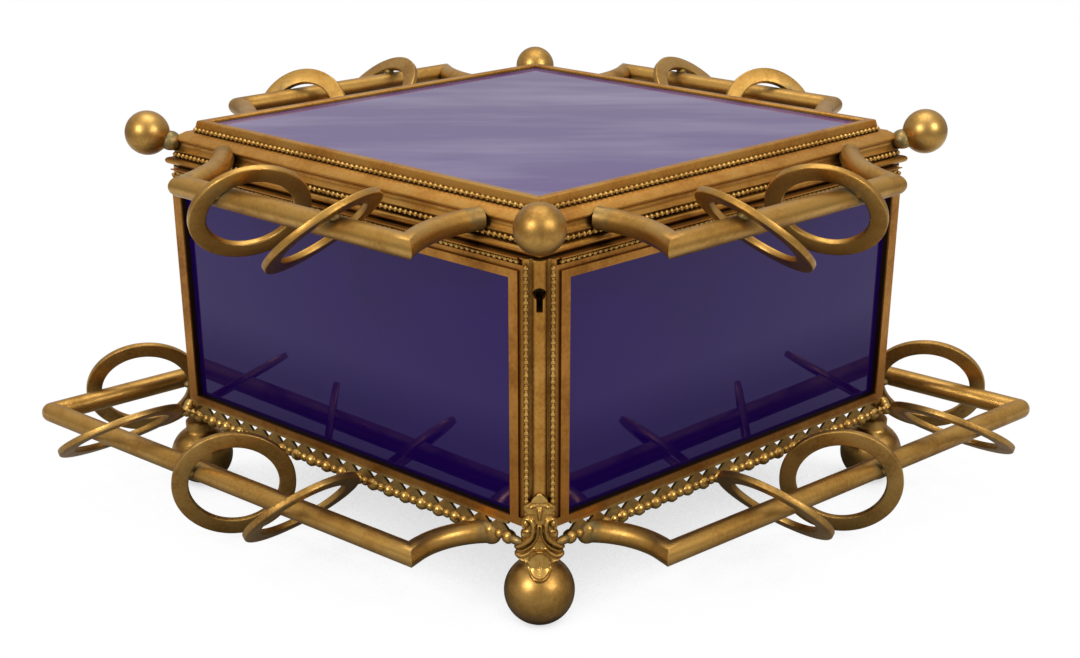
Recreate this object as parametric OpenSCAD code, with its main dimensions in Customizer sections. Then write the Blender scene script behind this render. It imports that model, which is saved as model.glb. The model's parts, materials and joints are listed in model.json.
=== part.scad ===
/* [Plan] */
// Angle of the plan's blunt corners, at the front and the back, in degrees
front_angle = 102; // [98:1:106]
// Distance from the centre of the casket to the outer face of each side
face_d = 81.8; // [78:0.2:90]
/* [Body] */
// Height of the underside of the body's bottom rails above the table
body_z = 34.1; // [33:0.1:40]
// Height of the body's frames
body_h = 85.2; // [74:0.1:110]
// Thickness of the frames, from the outer face to the back
frame_t = 6.3; // [5.6:0.1:8]
// Depth of the glass behind the outer face
glass_setback = 2.3; // [2.1:0.1:2.8]
// Thickness of the glass panes
glass_t = 3; // [2:0.1:3.2]
// How far each pane reaches behind the frame's lip
glass_lap = 1.4; // [1:0.1:1.6]
// Distance of the visible glass from the corners of the side
window_inset = 11.9; // [11.4:0.1:16]
// Distance of the visible glass from the bottom of the frame
window_low = 2.7; // [1.8:0.1:6]
// Distance of the visible glass from the top of the frame
window_top = 6.8; // [5.6:0.1:12]
// Width of the bevel around the glass
window_bevel = 0.4; // [0.2:0.1:1.6]
// Thickness of the base plate
base_t = 2.2; // [1.2:0.1:4]
// Width of the groove beside the posts at the front and the back
stile_groove_w = 2; // [0.5:0.1:2.8]
// Depth of the grooves in the faces of the frames
stile_groove_t = 0.8; // [0.3:0.1:1]
// Height of the groove under the small beads along the top of the frames
row_groove_h = 1.7; // [0.5:0.1:2]
/* [Posts] */
// Half of the width of each corner post
post_half_w = 4.8; // [4.6:0.1:5]
// How far the shoulders of the front and back posts stand behind the faces that meet them
post_setback = 0.4; // [0.2:0.1:0.8]
// How far the shoulders of the left and right posts stand behind the faces that meet them
sharp_setback = 1.7; // [1.2:0.1:2]
// How far the post reaches below the frames
post_drop = 2.6; // [2:0.1:2.6]
// Radius of the half round on each post
post_round_r = 2.45; // [1.8:0.05:2.6]
// Height of the half round's crest above the shoulder
post_crest = 1.6; // [1:0.1:2]
// Distance of the bead columns from the middle of the post
bead_column_w = 3.9; // [3.6:0.1:4.4]
// Height of the keyhole's round end below the top of the body
keyhole_drop = 10.1; // [7:0.1:12]
// Radius of the keyhole's round end
keyhole_r = 1.9; // [1.2:0.1:2.2]
// Width of the keyhole's slot
keyhole_w = 1.9; // [1:0.1:2.4]
// Length of the keyhole's slot below the centre of its round end
keyhole_l = 5.5; // [3:0.1:7]
// Width and depth of the grooves beside the half round
post_groove = 0.5; // [0.3:0.05:0.6]
// How far the posts at the left and right stand clear of the frames' rebate
post_bed = 0.8; // [0.7:0.1:1.1]
/* [Beading] */
// Radius of the small beads
bead_r = 0.85; // [0.6:0.05:0.9]
// Distance between neighbouring small beads
bead_pitch = 2.05; // [1.8:0.05:3]
// Radius of the large beads under the body
big_bead_r = 2.3; // [1.6:0.1:2.4]
// Radius of the spacers between the large beads
spacer_r = 1.7; // [0.8:0.1:1.9]
// Distance between neighbouring large beads
big_bead_pitch = 7.15; // [6:0.05:9]
// Distance of the large beads below the body
big_bead_drop = 5.5; // [5.2:0.1:6]
// Distance of the large beads' centres behind the faces of the body
rail_in = 0.5; // [0.3:0.1:0.6]
// Thickness of the openwork strip above the large beads
openwork_t = 1; // [0.6:0.1:1.4]
// Radius of the wire that joins the small beads
bead_core_r = 0.45; // [0.3:0.05:0.5]
// Distance of the small beads on the body behind its faces
row_in = 0.8; // [0.6:0.05:1]
// Distance of the first large bead from the corners at the front and back
rail_start = 12.35; // [11.6:0.05:14]
// Least distance of the last large bead from the corners at the left and right
rail_end = 4.6; // [4.2:0.1:8]
/* [Feet] */
// Radius of the ball of each foot
foot_r = 11; // [9:0.1:11.2]
// How much of the ball is flattened where it stands
foot_flat = 0.4; // [0.2:0.1:1]
// Distance of each foot behind its corner
foot_inset = 7.5; // [6.8:0.1:9]
// Radius of the foot's neck
neck_r = 5; // [3:0.1:6]
// Height of the tip of the leaf over the front and back feet
leaf_top = 46.7; // [42:0.1:52]
// Height of the bottom of the leaf
leaf_low = 17.5; // [16.5:0.1:20]
// Thickness of the leaf
leaf_t = 3.2; // [2:0.1:4]
// Radius of the rod through the foot's neck
stem_r = 1.8; // [1.4:0.1:1.9]
/* [Lower gallery] */
// Radius of the lower gallery's rod
low_rod_r = 3.6; // [2.8:0.1:3.8]
// Height of the lower gallery's rod
low_rod_z = 27; // [25:0.2:28]
// Distance from the centre to the tips of the lower gallery at the left and right
low_tip = 175.5; // [172:0.5:182]
// Distance of the lower gallery's mitres from the front corner's plane
low_mitre_x = 39; // [36:0.5:44]
// Distance of the lower gallery's mitres in front of the centre
low_mitre_y = 105; // [102:0.5:108]
// How far the lower gallery's arms bow from a straight line
low_arm_bulge = 3.9; // [2:0.1:5]
// Distance of the arms' ends from the corners at the front and back
low_arm_run = 20.5; // [19.5:0.5:24]
/* [Upper gallery] */
// Radius of the upper gallery's rod
top_rod_r = 3.5; // [2.8:0.1:3.6]
// Height of the upper gallery's rod above the top of the body
top_rod_rise = 7.6; // [7:0.1:8.2]
// Distance of the upper gallery's rod from the centre
top_rod_d = 110; // [106:0.5:114]
// Radius of the finial balls
finial_r = 7.5; // [6:0.1:8]
// Height of the finials' centres above the top of the body
finial_rise = 11.2; // [10.6:0.1:12]
// Distance of the finials' centres outside the lid's corners
finial_out = 7.9; // [7:0.1:8.6]
// Radius of the finials' necks
finial_neck_r = 2.4; // [1.6:0.1:2.6]
// Distance of the upper gallery's mitre from the corner at the front or back
top_front_inset = 47; // [44:0.5:50]
// Distance of the upper gallery's mitre from the corner at the left or right
top_side_inset = 83.8; // [80:0.2:88]
// How far the upper gallery's arms bow from a straight line
top_arm_bulge = 3.2; // [2:0.1:4]
/* [Rings] */
// Width of the rings' flat band
ring_w = 5.6; // [5:0.1:6.2]
// Thickness of the rings
ring_t = 2.2; // [1.4:0.1:2.4]
// Gap between a ring and the rod through it
ring_seat = 0.3; // [0.2:0.05:0.5]
// Radius of the hole of the rings on the lower gallery
low_hole_r = 15; // [14:0.1:15.4]
// Place along the lower gallery of the rings that hang on it
low_hung_x = 49; // [46:0.5:52]
// Place along the side of the rings held by the large beads
low_held_x = 13.3; // [9:0.1:15]
// Radius of the hole of the rings at the left and right tips, on the front
tip_front_hole_r = 16.9; // [16.4:0.1:17.2]
// Radius of the hole of the rings at the left and right tips, on the back
tip_back_hole_r = 15.7; // [15.4:0.1:16]
// Radius of the hole of the rings that hang on the upper gallery
top_hung_hole_r = 13.6; // [12.8:0.1:14]
// Radius of the hole of the upper gallery's larger rings
top_held_hole_r = 15; // [14:0.1:15.4]
// Place along the upper gallery of the rings that hang on it
top_hung_x = 30.8; // [29:0.2:33]
// Place along the upper gallery of its larger rings
top_held_x = -4.3; // [-7:0.1:-3]
/* [Lid] */
// Gap between the closed lid and the body
lid_gap = 0.4; // [0.3:0.05:0.8]
// Height of the lid's moulding up to its ridge
ridge_h = 9; // [8.6:0.1:10]
// Distance of the lid's ridge behind the body's outer face
ridge_in = 3.8; // [3.4:0.1:4.4]
// Width of the sloping top of the moulding up to its beads
slope_w = 3.2; // [2.8:0.1:3.6]
// Rise of the sloping top of the moulding
slope_h = 2.3; // [1.8:0.1:3]
// Height of the rim around the top glass above the moulding
rim_h = 3.7; // [3.2:0.1:5]
// Width of the plain frame around the top glass
rim_w = 3.4; // [3:0.1:5]
// Thickness of the top glass
lid_glass_t = 3; // [2:0.1:3.4]
// Radius of the round edge along the bottom of the lid
lid_torus_r = 1.2; // [0.8:0.1:1.2]
// Distance of the round edge's centre behind the body's outer face
lid_torus_in = 3.2; // [3:0.1:3.6]
// Height of the ledge behind the round edge
ledge_h = 2.3; // [2:0.1:2.6]
// Height of the lower row of beads above the bottom of the lid
lid_row_h = 3.7; // [3.5:0.1:4]
// Thickness of the lid's moulding
lid_wall = 3.5; // [3:0.1:4.2]
// Height of the upright edge along the ridge
ridge_edge = 0.5; // [0.3:0.1:0.8]
// Depth of the hollow below the ridge
scoop_depth = 1.1; // [0.6:0.1:1.3]
// Depth of the top glass below its frame
lid_glass_recess = 1.3; // [0.8:0.1:1.8]
// Thickness of the ledge under the top glass
flange_t = 2; // [1.2:0.1:2.6]
// Width of the frame's foot outside the glass
rim_wall = 1.6; // [1.3:0.1:2]
// Slope of the frame's outer face
rim_slope = 0.7; // [0.3:0.1:0.8]
// Width of the bevels on the frame's edges
rim_edge = 0.4; // [0.2:0.1:0.6]
/* [Hinge and lock] */
// Radius of the hinge's knuckles
knuckle_r = 2; // [1.6:0.1:2.4]
// Radius of the hinge's pin
pin_r = 0.8; // [0.6:0.05:1]
// Radial clearance of the pin in the lid's knuckle
pin_clearance = 0.05; // [0.02:0.01:0.1]
// Half of the hinge's width
hinge_half_w = 4.8; // [4:0.1:6]
// Thickness of the hinge's leaves
leaf_plate_t = 1; // [0.6:0.1:1.2]
// Height of the lock case
lock_h = 15; // [13:0.1:20]
// Thickness of the lock case's walls
lock_wall = 1; // [0.6:0.1:1]
// Half of the lock case's width
lock_half_w = 7; // [6.6:0.1:7]
// Travel of the lock's bolt
bolt_travel = 4; // [3.4:0.1:4.4]
// Height of the hinge's leaf on the body below the pin
hinge_leaf_h = 11.5; // [8:0.5:16]
// Height of the hinge's leaf on the lid above the pin
lid_leaf_h = 4.5; // [4:0.1:5]
// Width of the slot that the lid's tongue drops into
keeper_slot_w = 2.8; // [2.6:0.1:3.4]
/* [Hidden] */
$fn = 64;
SIDES = ["front_left", "front_right", "back_left", "back_right"];
CORNERS = ["front", "back", "left", "right"];
gilt = [0.66, 0.49, 0.22];
bright_gilt = [0.76, 0.58, 0.28];
brass = [0.72, 0.6, 0.3];
steel = [0.55, 0.55, 0.56];
dark_glass = [0.2, 0.14, 0.42];
pale_glass = [0.5, 0.45, 0.65];

// Plan: the sides slope away from the front corner, and each side has its own frame with
// x along the side from the foot of the perpendicular, y outward from the centre and z up.
slope = (180 - front_angle) / 2;
far = 400;
eps = 0.01;
mitre_gap = 0.01;
seat = 0.05;
strip_gap = 0.3;
function corner_x(d) = d / sin(slope);
function corner_y(d) = d / cos(slope);
function end_front(d) = -d * tan(slope);
function end_side(d) = d / tan(slope);
function along(x, y) = x * cos(slope) - y * sin(slope);
function outward(x, y) = x * sin(slope) + y * cos(slope);

// Heights
body_top = body_z + body_h;
lid_z = body_top + lid_gap;
low_bead_z = body_z - big_bead_drop;
ridge_z = lid_z + ridge_h;
deck_z = ridge_z + slope_h;
rim_z = deck_z + rim_h;
finial_z = body_top + finial_rise;
top_rod_z = body_top + top_rod_rise;

// Depths from the centre
lip_d = face_d - glass_setback;
pane_d = lip_d - glass_t;
frame_back_d = face_d - frame_t;
ridge_d = face_d - ridge_in;

// The visible glass of one side
window_x0 = end_front(face_d) + window_inset;
window_x1 = end_side(face_d) - window_inset;
window_z0 = body_z + window_low;
window_z1 = body_top - window_top;

// Corner posts, measured outward from the middle of the casket
front_run = tan(slope);
side_run = 1 / tan(slope);
rebate_u = (window_x1 + glass_lap) * cos(slope) + lip_d * sin(slope);
function shoulder_u(sharp) = sharp
  ? corner_x(face_d) - post_half_w * side_run - sharp_setback
  : corner_y(face_d) - post_half_w * front_run - post_setback;
function post_back_u(sharp) = sharp
  ? max(corner_x(lip_d) - post_half_w * side_run, rebate_u) + post_bed
  : corner_y(lip_d) - post_half_w * front_run;
function crest_u(sharp) = shoulder_u(sharp) + post_crest;
post_bottom = body_z - post_drop;
post_top = body_top - 0.1;
keyhole_z = body_top - keyhole_drop;

// Rows of beads and glass on the lid
row_z = body_top - bead_r - 0.45;
lid_row_d = ridge_d + 0.5;
row_back_d = lid_row_d - bead_r - seat;
top_row_d = ridge_d - slope_w - bead_r - seat;
glass_edge_d = top_row_d - bead_r - seat - rim_wall;
flange_d = top_row_d - bead_r - seat - rim_w - 0.7;
lid_seat_z = rim_z - lid_glass_recess - lid_glass_t;

module on_side(side) {
  if (side == "front_left") rotate(180 - slope) children();
  if (side == "front_right") mirror([1, 0, 0]) rotate(180 - slope) children();
  if (side == "back_left") mirror([0, 1, 0]) rotate(180 - slope) children();
  if (side == "back_right") rotate(-slope) children();
}

// Keeps the part of a side that lies more than gap from both diagonals of the plan
module mitred(side, gap = 0) {
  intersection() {
    on_side(side) children();
    quarter(side, gap);
  }
}

module quarter(side, gap) {
  left = side == "front_left" || side == "back_left";
  front = side == "front_left" || side == "front_right";
  translate([left ? -far - gap : gap, front ? -far - gap : gap, -far / 2])
    cube(far);
}

module at_corner(end) {
  if (end == "front") rotate(-90) children();
  if (end == "back") rotate(90) children();
  if (end == "left") rotate(180) children();
  if (end == "right") children();
}

// A profile drawn as outward distance and height, run along a side
module run_profile(x0, x1) {
  translate([x0, 0, 0])
    rotate([90, 0, 90])
    linear_extrude(x1 - x0)
    children();
}

// A plate drawn as distance along the side and height, standing from d0 out to d1
module stand_plate(d0, d1) {
  translate([0, d1, 0])
    rotate([90, 0, 0])
    linear_extrude(d1 - d0)
    children();
}

// A straight rod of beads on a thin core, along x from x0 to x1
module bead_rod(x0, x1, r, pitch, core_r, between_r = 0) {
  count = floor((x1 - x0 - 2 * r) / pitch);
  start = (x1 - x0 - count * pitch) / 2;
  translate([x0, 0, 0])
    rotate([90, 0, 90])
    rotate_extrude() {
      intersection() {
        union() {
          for (i = [0 : count]) translate([0, start + i * pitch]) circle(r);
          if (between_r > 0)
            for (i = [0 : count - 1]) translate([0, start + (i + 0.5) * pitch]) circle(between_r);
          translate([-core_r, start]) square([2 * core_r, count * pitch]);
        }
        square([2 * r, x1 - x0]);
      }
    }
}

module lozenge(d) {
  polygon([[corner_x(d), 0], [0, corner_y(d)], [-corner_x(d), 0], [0, -corner_y(d)]]);
}

// Body

module base_plate() {
  color(gilt)
    translate([0, 0, body_z])
    linear_extrude(base_t)
    lozenge(frame_back_d - seat);
}

// The opening that the glass shows through, bevelled on all four sides
module window_cut() {
  run_out = 1;
  intersection() {
    run_profile(window_x0 - 5, window_x1 + 5)
      polygon([
        [lip_d - run_out, window_z0], [lip_d, window_z0],
        [face_d, window_z0 - window_bevel], [face_d + run_out, window_z0 - window_bevel],
        [face_d + run_out, window_z1 + window_bevel], [face_d, window_z1 + window_bevel],
        [lip_d, window_z1], [lip_d - run_out, window_z1]
      ]);
    translate([0, 0, body_z])
      linear_extrude(body_h)
      polygon([
        [window_x0, lip_d - run_out], [window_x0, lip_d],
        [window_x0 - window_bevel, face_d], [window_x0 - window_bevel, face_d + run_out],
        [window_x1 + window_bevel, face_d + run_out], [window_x1 + window_bevel, face_d],
        [window_x1, lip_d], [window_x1, lip_d - run_out]
      ]);
  }
}

// A block as large as the glass, with a margin around it, from d0 out to d1
module window_block(margin, d0, d1) {
  translate([window_x0 - margin, d0, window_z0 - margin])
    cube([window_x1 - window_x0 + 2 * margin, d1 - d0, window_z1 - window_z0 + 2 * margin]);
}

module post_notch(sharp) {
  translate([post_back_u(sharp), -post_half_w, 0])
    cube([far, 2 * post_half_w, far]);
}

module keyhole_cut(from_u) {
  translate([from_u, 0, keyhole_z])
    rotate([0, 90, 0])
    cylinder(r = keyhole_r, h = far);
  translate([from_u, -keyhole_w / 2, keyhole_z - keyhole_l])
    cube([far, keyhole_w, keyhole_l]);
}

module frame(side) {
  front = side == "front_left" || side == "front_right";
  left = side == "front_left" || side == "back_left";
  stile_x0 = end_front(face_d) + post_half_w / cos(slope);
  stile_spare = 1;
  color(gilt)
    difference() {
      mitred(side)
        difference() {
          run_profile(end_front(face_d), end_side(face_d))
            translate([frame_back_d, body_z])
            square([frame_t, body_h]);
          window_cut();
          window_block(glass_lap, frame_back_d - 1, lip_d);
          translate([-far, face_d - row_in - bead_r - seat, row_z - bead_r - seat])
            cube([2 * far, far, 2 * (bead_r + seat)]);
          translate([stile_x0 - stile_spare, face_d - stile_groove_t, body_z + window_low])
            cube([stile_groove_w + stile_spare, far, body_h]);
          translate([stile_x0, face_d - stile_groove_t, row_z - bead_r - seat - row_groove_h])
            cube([far, far, row_groove_h + seat]);
        }
      at_corner(front ? "front" : "back") post_notch(false);
      at_corner(left ? "left" : "right") post_notch(true);
      if (front) at_corner("front") keyhole_cut(lip_d);
    }
}

module pane(side) {
  color(dark_glass)
    on_side(side)
    window_block(glass_lap - seat, pane_d, lip_d);
}

module glass_stops() {
  color(gilt)
    for (side = SIDES)
      on_side(side)
        difference() {
          window_block(glass_lap - seat, frame_back_d, pane_d);
          window_block(0, frame_back_d - 1, pane_d + 1);
        }
}

module post(end) {
  sharp = end == "left" || end == "right";
  crest = crest_u(sharp);
  color(gilt)
    at_corner(end)
    difference() {
      translate([0, 0, post_bottom])
        linear_extrude(post_top - post_bottom)
        difference() {
          union() {
            translate([post_back_u(sharp), -post_half_w])
              square([shoulder_u(sharp) - post_back_u(sharp), 2 * post_half_w]);
            intersection() {
              translate([crest - post_round_r, 0]) circle(post_round_r);
              translate([post_back_u(sharp), -post_half_w]) square(2 * post_half_w);
            }
          }
          for (side = [-1, 1])
            translate([shoulder_u(sharp) - post_groove, side * (post_round_r + post_groove / 2)])
              translate([0, -post_groove / 2])
              square(2 * post_groove);
        }
      if (end == "front") keyhole_cut(post_back_u(sharp) - 1);
    }
}

// Rows of small beads along the top of each frame and up both sides of each post
module side_beading() {
  row_d = face_d - row_in;
  clear_w = post_half_w + bead_r + seat;
  color(bright_gilt) {
    for (side = SIDES)
      on_side(side)
        translate([0, row_d, row_z])
        bead_rod(
          (clear_w - row_d * sin(slope)) / cos(slope) - bead_r,
          (row_d * cos(slope) - clear_w) / sin(slope) + bead_r,
          bead_r, bead_pitch, bead_core_r
        );
    for (end = CORNERS, w = [-bead_column_w, bead_column_w])
      at_corner(end)
        translate([shoulder_u(end == "left" || end == "right") + bead_r + seat, w, 0])
        rotate([0, -90, 0])
        bead_rod(post_bottom + 2, post_top - 1, bead_r, bead_pitch, bead_core_r);
  }
}

// The row of large beads under a side, cast with the openwork strip that it hangs from
module bead_rail(side) {
  x0 = end_front(face_d) + rail_start;
  x1 = end_side(face_d) - rail_end;
  count = floor((x1 - x0) / big_bead_pitch);
  strip_end = ((face_d - openwork_t) * cos(slope) - post_half_w - strip_gap) / sin(slope);
  color(bright_gilt)
    union() {
      on_side(side)
        translate([0, face_d - rail_in, low_bead_z])
        bead_rod(
          x0 - big_bead_r, x0 + count * big_bead_pitch + big_bead_r + seat,
          big_bead_r, big_bead_pitch, spacer_r / 2, spacer_r
        );
      on_side(side)
        stand_plate(face_d - openwork_t, face_d)
        difference() {
          translate([x0, low_bead_z])
            square([min(count * big_bead_pitch, strip_end - x0), big_bead_drop]);
          for (i = [0 : count])
            translate([x0 + i * big_bead_pitch, low_bead_z + big_bead_r])
              polygon([[0, 0], [big_bead_pitch * 0.32, 2.2], [-big_bead_pitch * 0.32, 2.2]]);
        }
    }
}

module foot(end) {
  sharp = end == "left" || end == "right";
  corner = sharp ? corner_x(face_d) : corner_y(face_d);
  stem_z = low_bead_z - big_bead_r - 2;
  color(gilt)
    at_corner(end)
    translate([corner - foot_inset, 0, 0])
    difference() {
      union() {
        translate([0, 0, foot_r - foot_flat]) sphere(foot_r);
        translate([0, 0, foot_r]) cylinder(r = neck_r, h = stem_z - foot_r);
        translate([0, 0, foot_r]) cylinder(r = stem_r, h = post_bottom - foot_r);
      }
      translate([-foot_r, -foot_r, -2 * foot_r]) cube(2 * foot_r);
    }
}

// A pointed leaf shape, from its lower tip at the origin up to its upper tip
module pointed_leaf(height, half_w) {
  arc_r = (height * height / 4 + half_w * half_w) / (2 * half_w);
  intersection_for (side = [-1, 1])
    translate([side * (arc_r - half_w), height / 2]) circle(arc_r);
}

// An acanthus leaf with two volutes, over the front foot and over the back one
module foot_leaves() {
  corner = corner_y(face_d);
  leaf_back = max(crest_u(false), shoulder_u(false) + 2 * bead_r + seat) + seat;
  color(bright_gilt)
    for (end = ["front", "back"])
      at_corner(end)
        difference() {
          translate([leaf_back, 0, 0])
            rotate([90, 0, 90])
            linear_extrude(leaf_t) {
              translate([0, leaf_top - 14]) pointed_leaf(14, 5);
              translate([0, leaf_low]) pointed_leaf(13, 4.6);
              translate([-4.6, leaf_low + 9]) square([9.2, 10]);
              for (side = [-1, 1]) {
                translate([side * 4, leaf_top - 10.2]) circle(2.6);
                translate([side * 4.9, leaf_low + 8.4]) circle(2.9);
                translate([side * 3.6, leaf_low + 5.2]) circle(2.4);
              }
            }
          translate([corner - foot_inset, 0, foot_r - foot_flat]) sphere(foot_r + seat);
          translate([corner - foot_inset, 0, 0]) cylinder(r = neck_r + seat, h = far);
        }
}

// Galleries: a rod between two mitres, with bent arms back to the casket

function chord_angle(p, q) = atan2(q.y - p.y, q.x - p.x);
function arc_radius(p, q, bulge) = (norm(q - p) * norm(q - p) / 4 + bulge * bulge) / (2 * abs(bulge));
function arc_half_angle(p, q, bulge) = asin(norm(q - p) / 2 / arc_radius(p, q, bulge));
function start_angle(p, q, bulge) = chord_angle(p, q) + sign(bulge) * arc_half_angle(p, q, bulge);

module straight_rod(p, q, r) {
  out = (q - p) / norm(q - p) * 3 * r;
  translate([p.x - out.x, p.y - out.y, 0])
    rotate([0, 90, chord_angle(p, q)])
    cylinder(r = r, h = norm(q - p) + 6 * r);
}

// A rod bent to an arc from p to q, which bulges to the left by bulge, and runs on at both ends
module bent_rod(p, q, bulge, r) {
  bend_r = arc_radius(p, q, bulge);
  middle = (p + q) / 2;
  across = [-(q - p).y, (q - p).x] / norm(q - p);
  centre = middle - across * sign(bulge) * (bend_r - abs(bulge));
  first = bulge > 0 ? q : p;
  overrun = 12;
  translate([centre.x, centre.y, 0])
    rotate(atan2(first.y - centre.y, first.x - centre.x) - overrun)
    rotate_extrude(angle = 2 * (arc_half_angle(p, q, bulge) + overrun))
    translate([bend_r, 0])
    circle(r);
}

// Everything on the far side of an upright plane through p that faces along angle
module beyond(p, angle, gap = 0) {
  reach = 260;
  translate([p.x, p.y, 0])
    rotate(angle)
    translate([gap, -reach / 2, -reach / 2])
    cube(reach);
}

// The direction across the mitre at p, from the arm towards the rod
function mitre_angle(p, rod_end, arm_end, bulge) =
  let (
    rod_angle = chord_angle(p, rod_end),
    arm_angle = start_angle(p, arm_end, bulge),
    towards = [cos(rod_angle) - cos(arm_angle), sin(rod_angle) - sin(arm_angle)]
  )
  atan2(towards.y, towards.x);

module arm(p, rod_end, arm_end, bulge, r) {
  intersection() {
    bent_rod(p, arm_end, bulge, r);
    beyond(p, mitre_angle(p, rod_end, arm_end, bulge) + 180);
  }
}

module low_gallery(side) {
  mitre = [along(low_mitre_x, low_mitre_y), outward(low_mitre_x, low_mitre_y)];
  tip = [along(low_tip, 0), outward(low_tip, 0)];
  arm_end = [end_front(face_d) + low_arm_run, face_d - 2];
  color(gilt) {
    intersection() {
      on_side(side)
        translate([0, 0, low_rod_z])
        intersection() {
          straight_rod(mitre, tip, low_rod_r);
          beyond(mitre, mitre_angle(mitre, tip, arm_end, low_arm_bulge), mitre_gap);
        }
      quarter(side, 0);
      translate([-low_tip - low_rod_r, -far / 2, 0]) cube([2 * (low_tip + low_rod_r), far, far / 2]);
    }
    on_side(side)
      difference() {
        translate([0, 0, low_rod_z])
          arm(mitre, tip, arm_end, low_arm_bulge, low_rod_r);
        translate([arm_end.x - 20, face_d - rail_in, low_bead_z])
          rotate([0, 90, 0])
          cylinder(r = big_bead_r + seat, h = 60);
        translate([arm_end.x - 20, face_d - openwork_t - seat, low_bead_z])
          cube([60, openwork_t + 2 * seat, 20]);
        translate([0, 0, low_rod_z])
          beyond(arm_end, start_angle(arm_end, mitre, -low_arm_bulge) + 180);
      }
  }
}

// Room for the lid's moulding and its lower row of beads, from x0 to x1 along a side
module cornice_room(x0, x1) {
  length = x1 - x0;
  translate([x0, 0, lid_z])
    cube([length, lid_row_d + bead_r + seat, lid_row_h + bead_r + seat]);
  translate([x0, 0, lid_z])
    cube([length, ridge_d + seat, 40]);
}

module top_gallery(side) {
  front_mitre = [end_front(top_rod_d) + top_front_inset, top_rod_d];
  side_mitre = [end_side(top_rod_d) - top_side_inset, top_rod_d];
  front_foot = [front_mitre.x + 1, ridge_d - 0.5];
  side_foot = [side_mitre.x + 18, ridge_d - 0.5];
  color(gilt)
    on_side(side) {
      translate([0, 0, top_rod_z])
        intersection() {
          straight_rod(front_mitre, side_mitre, top_rod_r);
          beyond(
            front_mitre, mitre_angle(front_mitre, side_mitre, front_foot, top_arm_bulge), mitre_gap
          );
          beyond(
            side_mitre, mitre_angle(side_mitre, front_mitre, side_foot, -top_arm_bulge), mitre_gap
          );
        }
      difference() {
        translate([0, 0, top_rod_z])
          arm(front_mitre, side_mitre, front_foot, top_arm_bulge, top_rod_r);
        cornice_room(front_foot.x - 30, front_foot.x + 30);
      }
      difference() {
        translate([0, 0, top_rod_z])
          arm(side_mitre, front_mitre, side_foot, -top_arm_bulge, top_rod_r);
        cornice_room(side_foot.x - 40, side_foot.x + 30);
      }
    }
}

// Flat rings

// A ring around a centre [along, outward, up], whose axis points to azimuth az and elevation el
module flat_ring(centre, az, el, hole_r) {
  translate(centre)
    rotate([0, 0, -az])
    rotate([el - 90, 0, 0])
    difference() {
      cylinder(r = hole_r + ring_w, h = ring_t, center = true);
      cylinder(r = hole_r, h = 2 * ring_t, center = true);
    }
}

module low_rings(side) {
  tip = [along(low_tip, 0), outward(low_tip, 0)];
  mitre = [along(low_mitre_x, low_mitre_y), outward(low_mitre_x, low_mitre_y)];
  lean = (tip.y - mitre.y) / (tip.x - mitre.x);
  room = low_hole_r - low_rod_r - ring_seat;
  hung_x = low_hung_x;
  held_r = low_hole_r + ring_w;
  color(gilt)
    on_side(side) {
      flat_ring(
        [hung_x, mitre.y + lean * (hung_x - mitre.x) - 0.618 * room, low_rod_z - 0.42 * room],
        -49, -10, low_hole_r
      );
      flat_ring(
        [
          low_held_x, face_d - rail_in + big_bead_r + ring_seat + 0.981 * held_r,
          low_bead_z - 2.6
        ],
        -83, -45, low_hole_r
      );
    }
}

module tip_rings() {
  color(gilt) {
    for (side = ["front_left", "front_right"])
      on_side(side)
        flat_ring(
          [
            end_side(face_d) + 1.7,
            face_d - rail_in + big_bead_r + 0.981 * (tip_front_hole_r + ring_w),
            low_bead_z - 1
          ],
          -80, -55, tip_front_hole_r
        );
    for (side = ["back_left", "back_right"])
      on_side(side)
        flat_ring(
          [along(low_tip, 0) - 36.6, outward(low_tip, 0) - 0.1, low_rod_z],
          -24, 20, tip_back_hole_r
        );
  }
}

module top_rings(side) {
  hung_room = top_hung_hole_r - top_rod_r - ring_seat;
  held_room = top_held_hole_r - top_rod_r - ring_seat;
  color(gilt)
    on_side(side) {
      flat_ring(
        [top_hung_x, top_rod_d - 0.81 * hung_room, top_rod_z - 0.62 * hung_room],
        -62, -30, top_hung_hole_r
      );
      flat_ring(
        [top_held_x, top_rod_d - 0.424 * held_room, top_rod_z - 0.393 * held_room],
        -97, -48, top_held_hole_r
      );
    }
}

// Lid

module lid_moulding(side) {
  wall_in = ridge_d - lid_wall;
  scoop_low = lid_z + lid_row_h + bead_r + 0.4;
  scoop_top = ridge_z - ridge_edge;
  scoop_half = (scoop_top - scoop_low) / 2;
  scoop_r = (scoop_half * scoop_half + scoop_depth * scoop_depth) / (2 * scoop_depth);
  color(gilt)
    mitred(side)
    run_profile(end_front(far / 2), end_side(far / 2))
    difference() {
      union() {
        polygon([
          [wall_in, lid_z], [face_d - lid_torus_in, lid_z],
          [face_d - lid_torus_in, lid_z + ledge_h], [row_back_d, lid_z + ledge_h + 0.3],
          [row_back_d, scoop_low - 0.3], [ridge_d, scoop_low - 0.3], [ridge_d, ridge_z],
          [ridge_d - slope_w, deck_z], [glass_edge_d, deck_z],
          [glass_edge_d, lid_seat_z], [flange_d, lid_seat_z], [flange_d, lid_seat_z - flange_t],
          [wall_in, lid_seat_z - flange_t]
        ]);
        translate([face_d - lid_torus_in, lid_z + lid_torus_r]) circle(lid_torus_r);
      }
      translate([ridge_d - scoop_depth + scoop_r, scoop_low + scoop_half]) circle(scoop_r);
    }
}

module lid_beading() {
  color(bright_gilt)
    for (side = SIDES)
      on_side(side) {
        translate([0, lid_row_d, lid_z + lid_row_h])
          bead_rod(
            end_front(lid_row_d) + bead_r * 1.4, end_side(lid_row_d) - bead_r * 1.7,
            bead_r, bead_pitch, bead_core_r
          );
        translate([0, top_row_d, deck_z + bead_r + seat])
          bead_rod(
            end_front(top_row_d) + bead_r * 1.4, end_side(top_row_d) - bead_r * 1.7,
            bead_r, bead_pitch, bead_core_r
          );
      }
}

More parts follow.
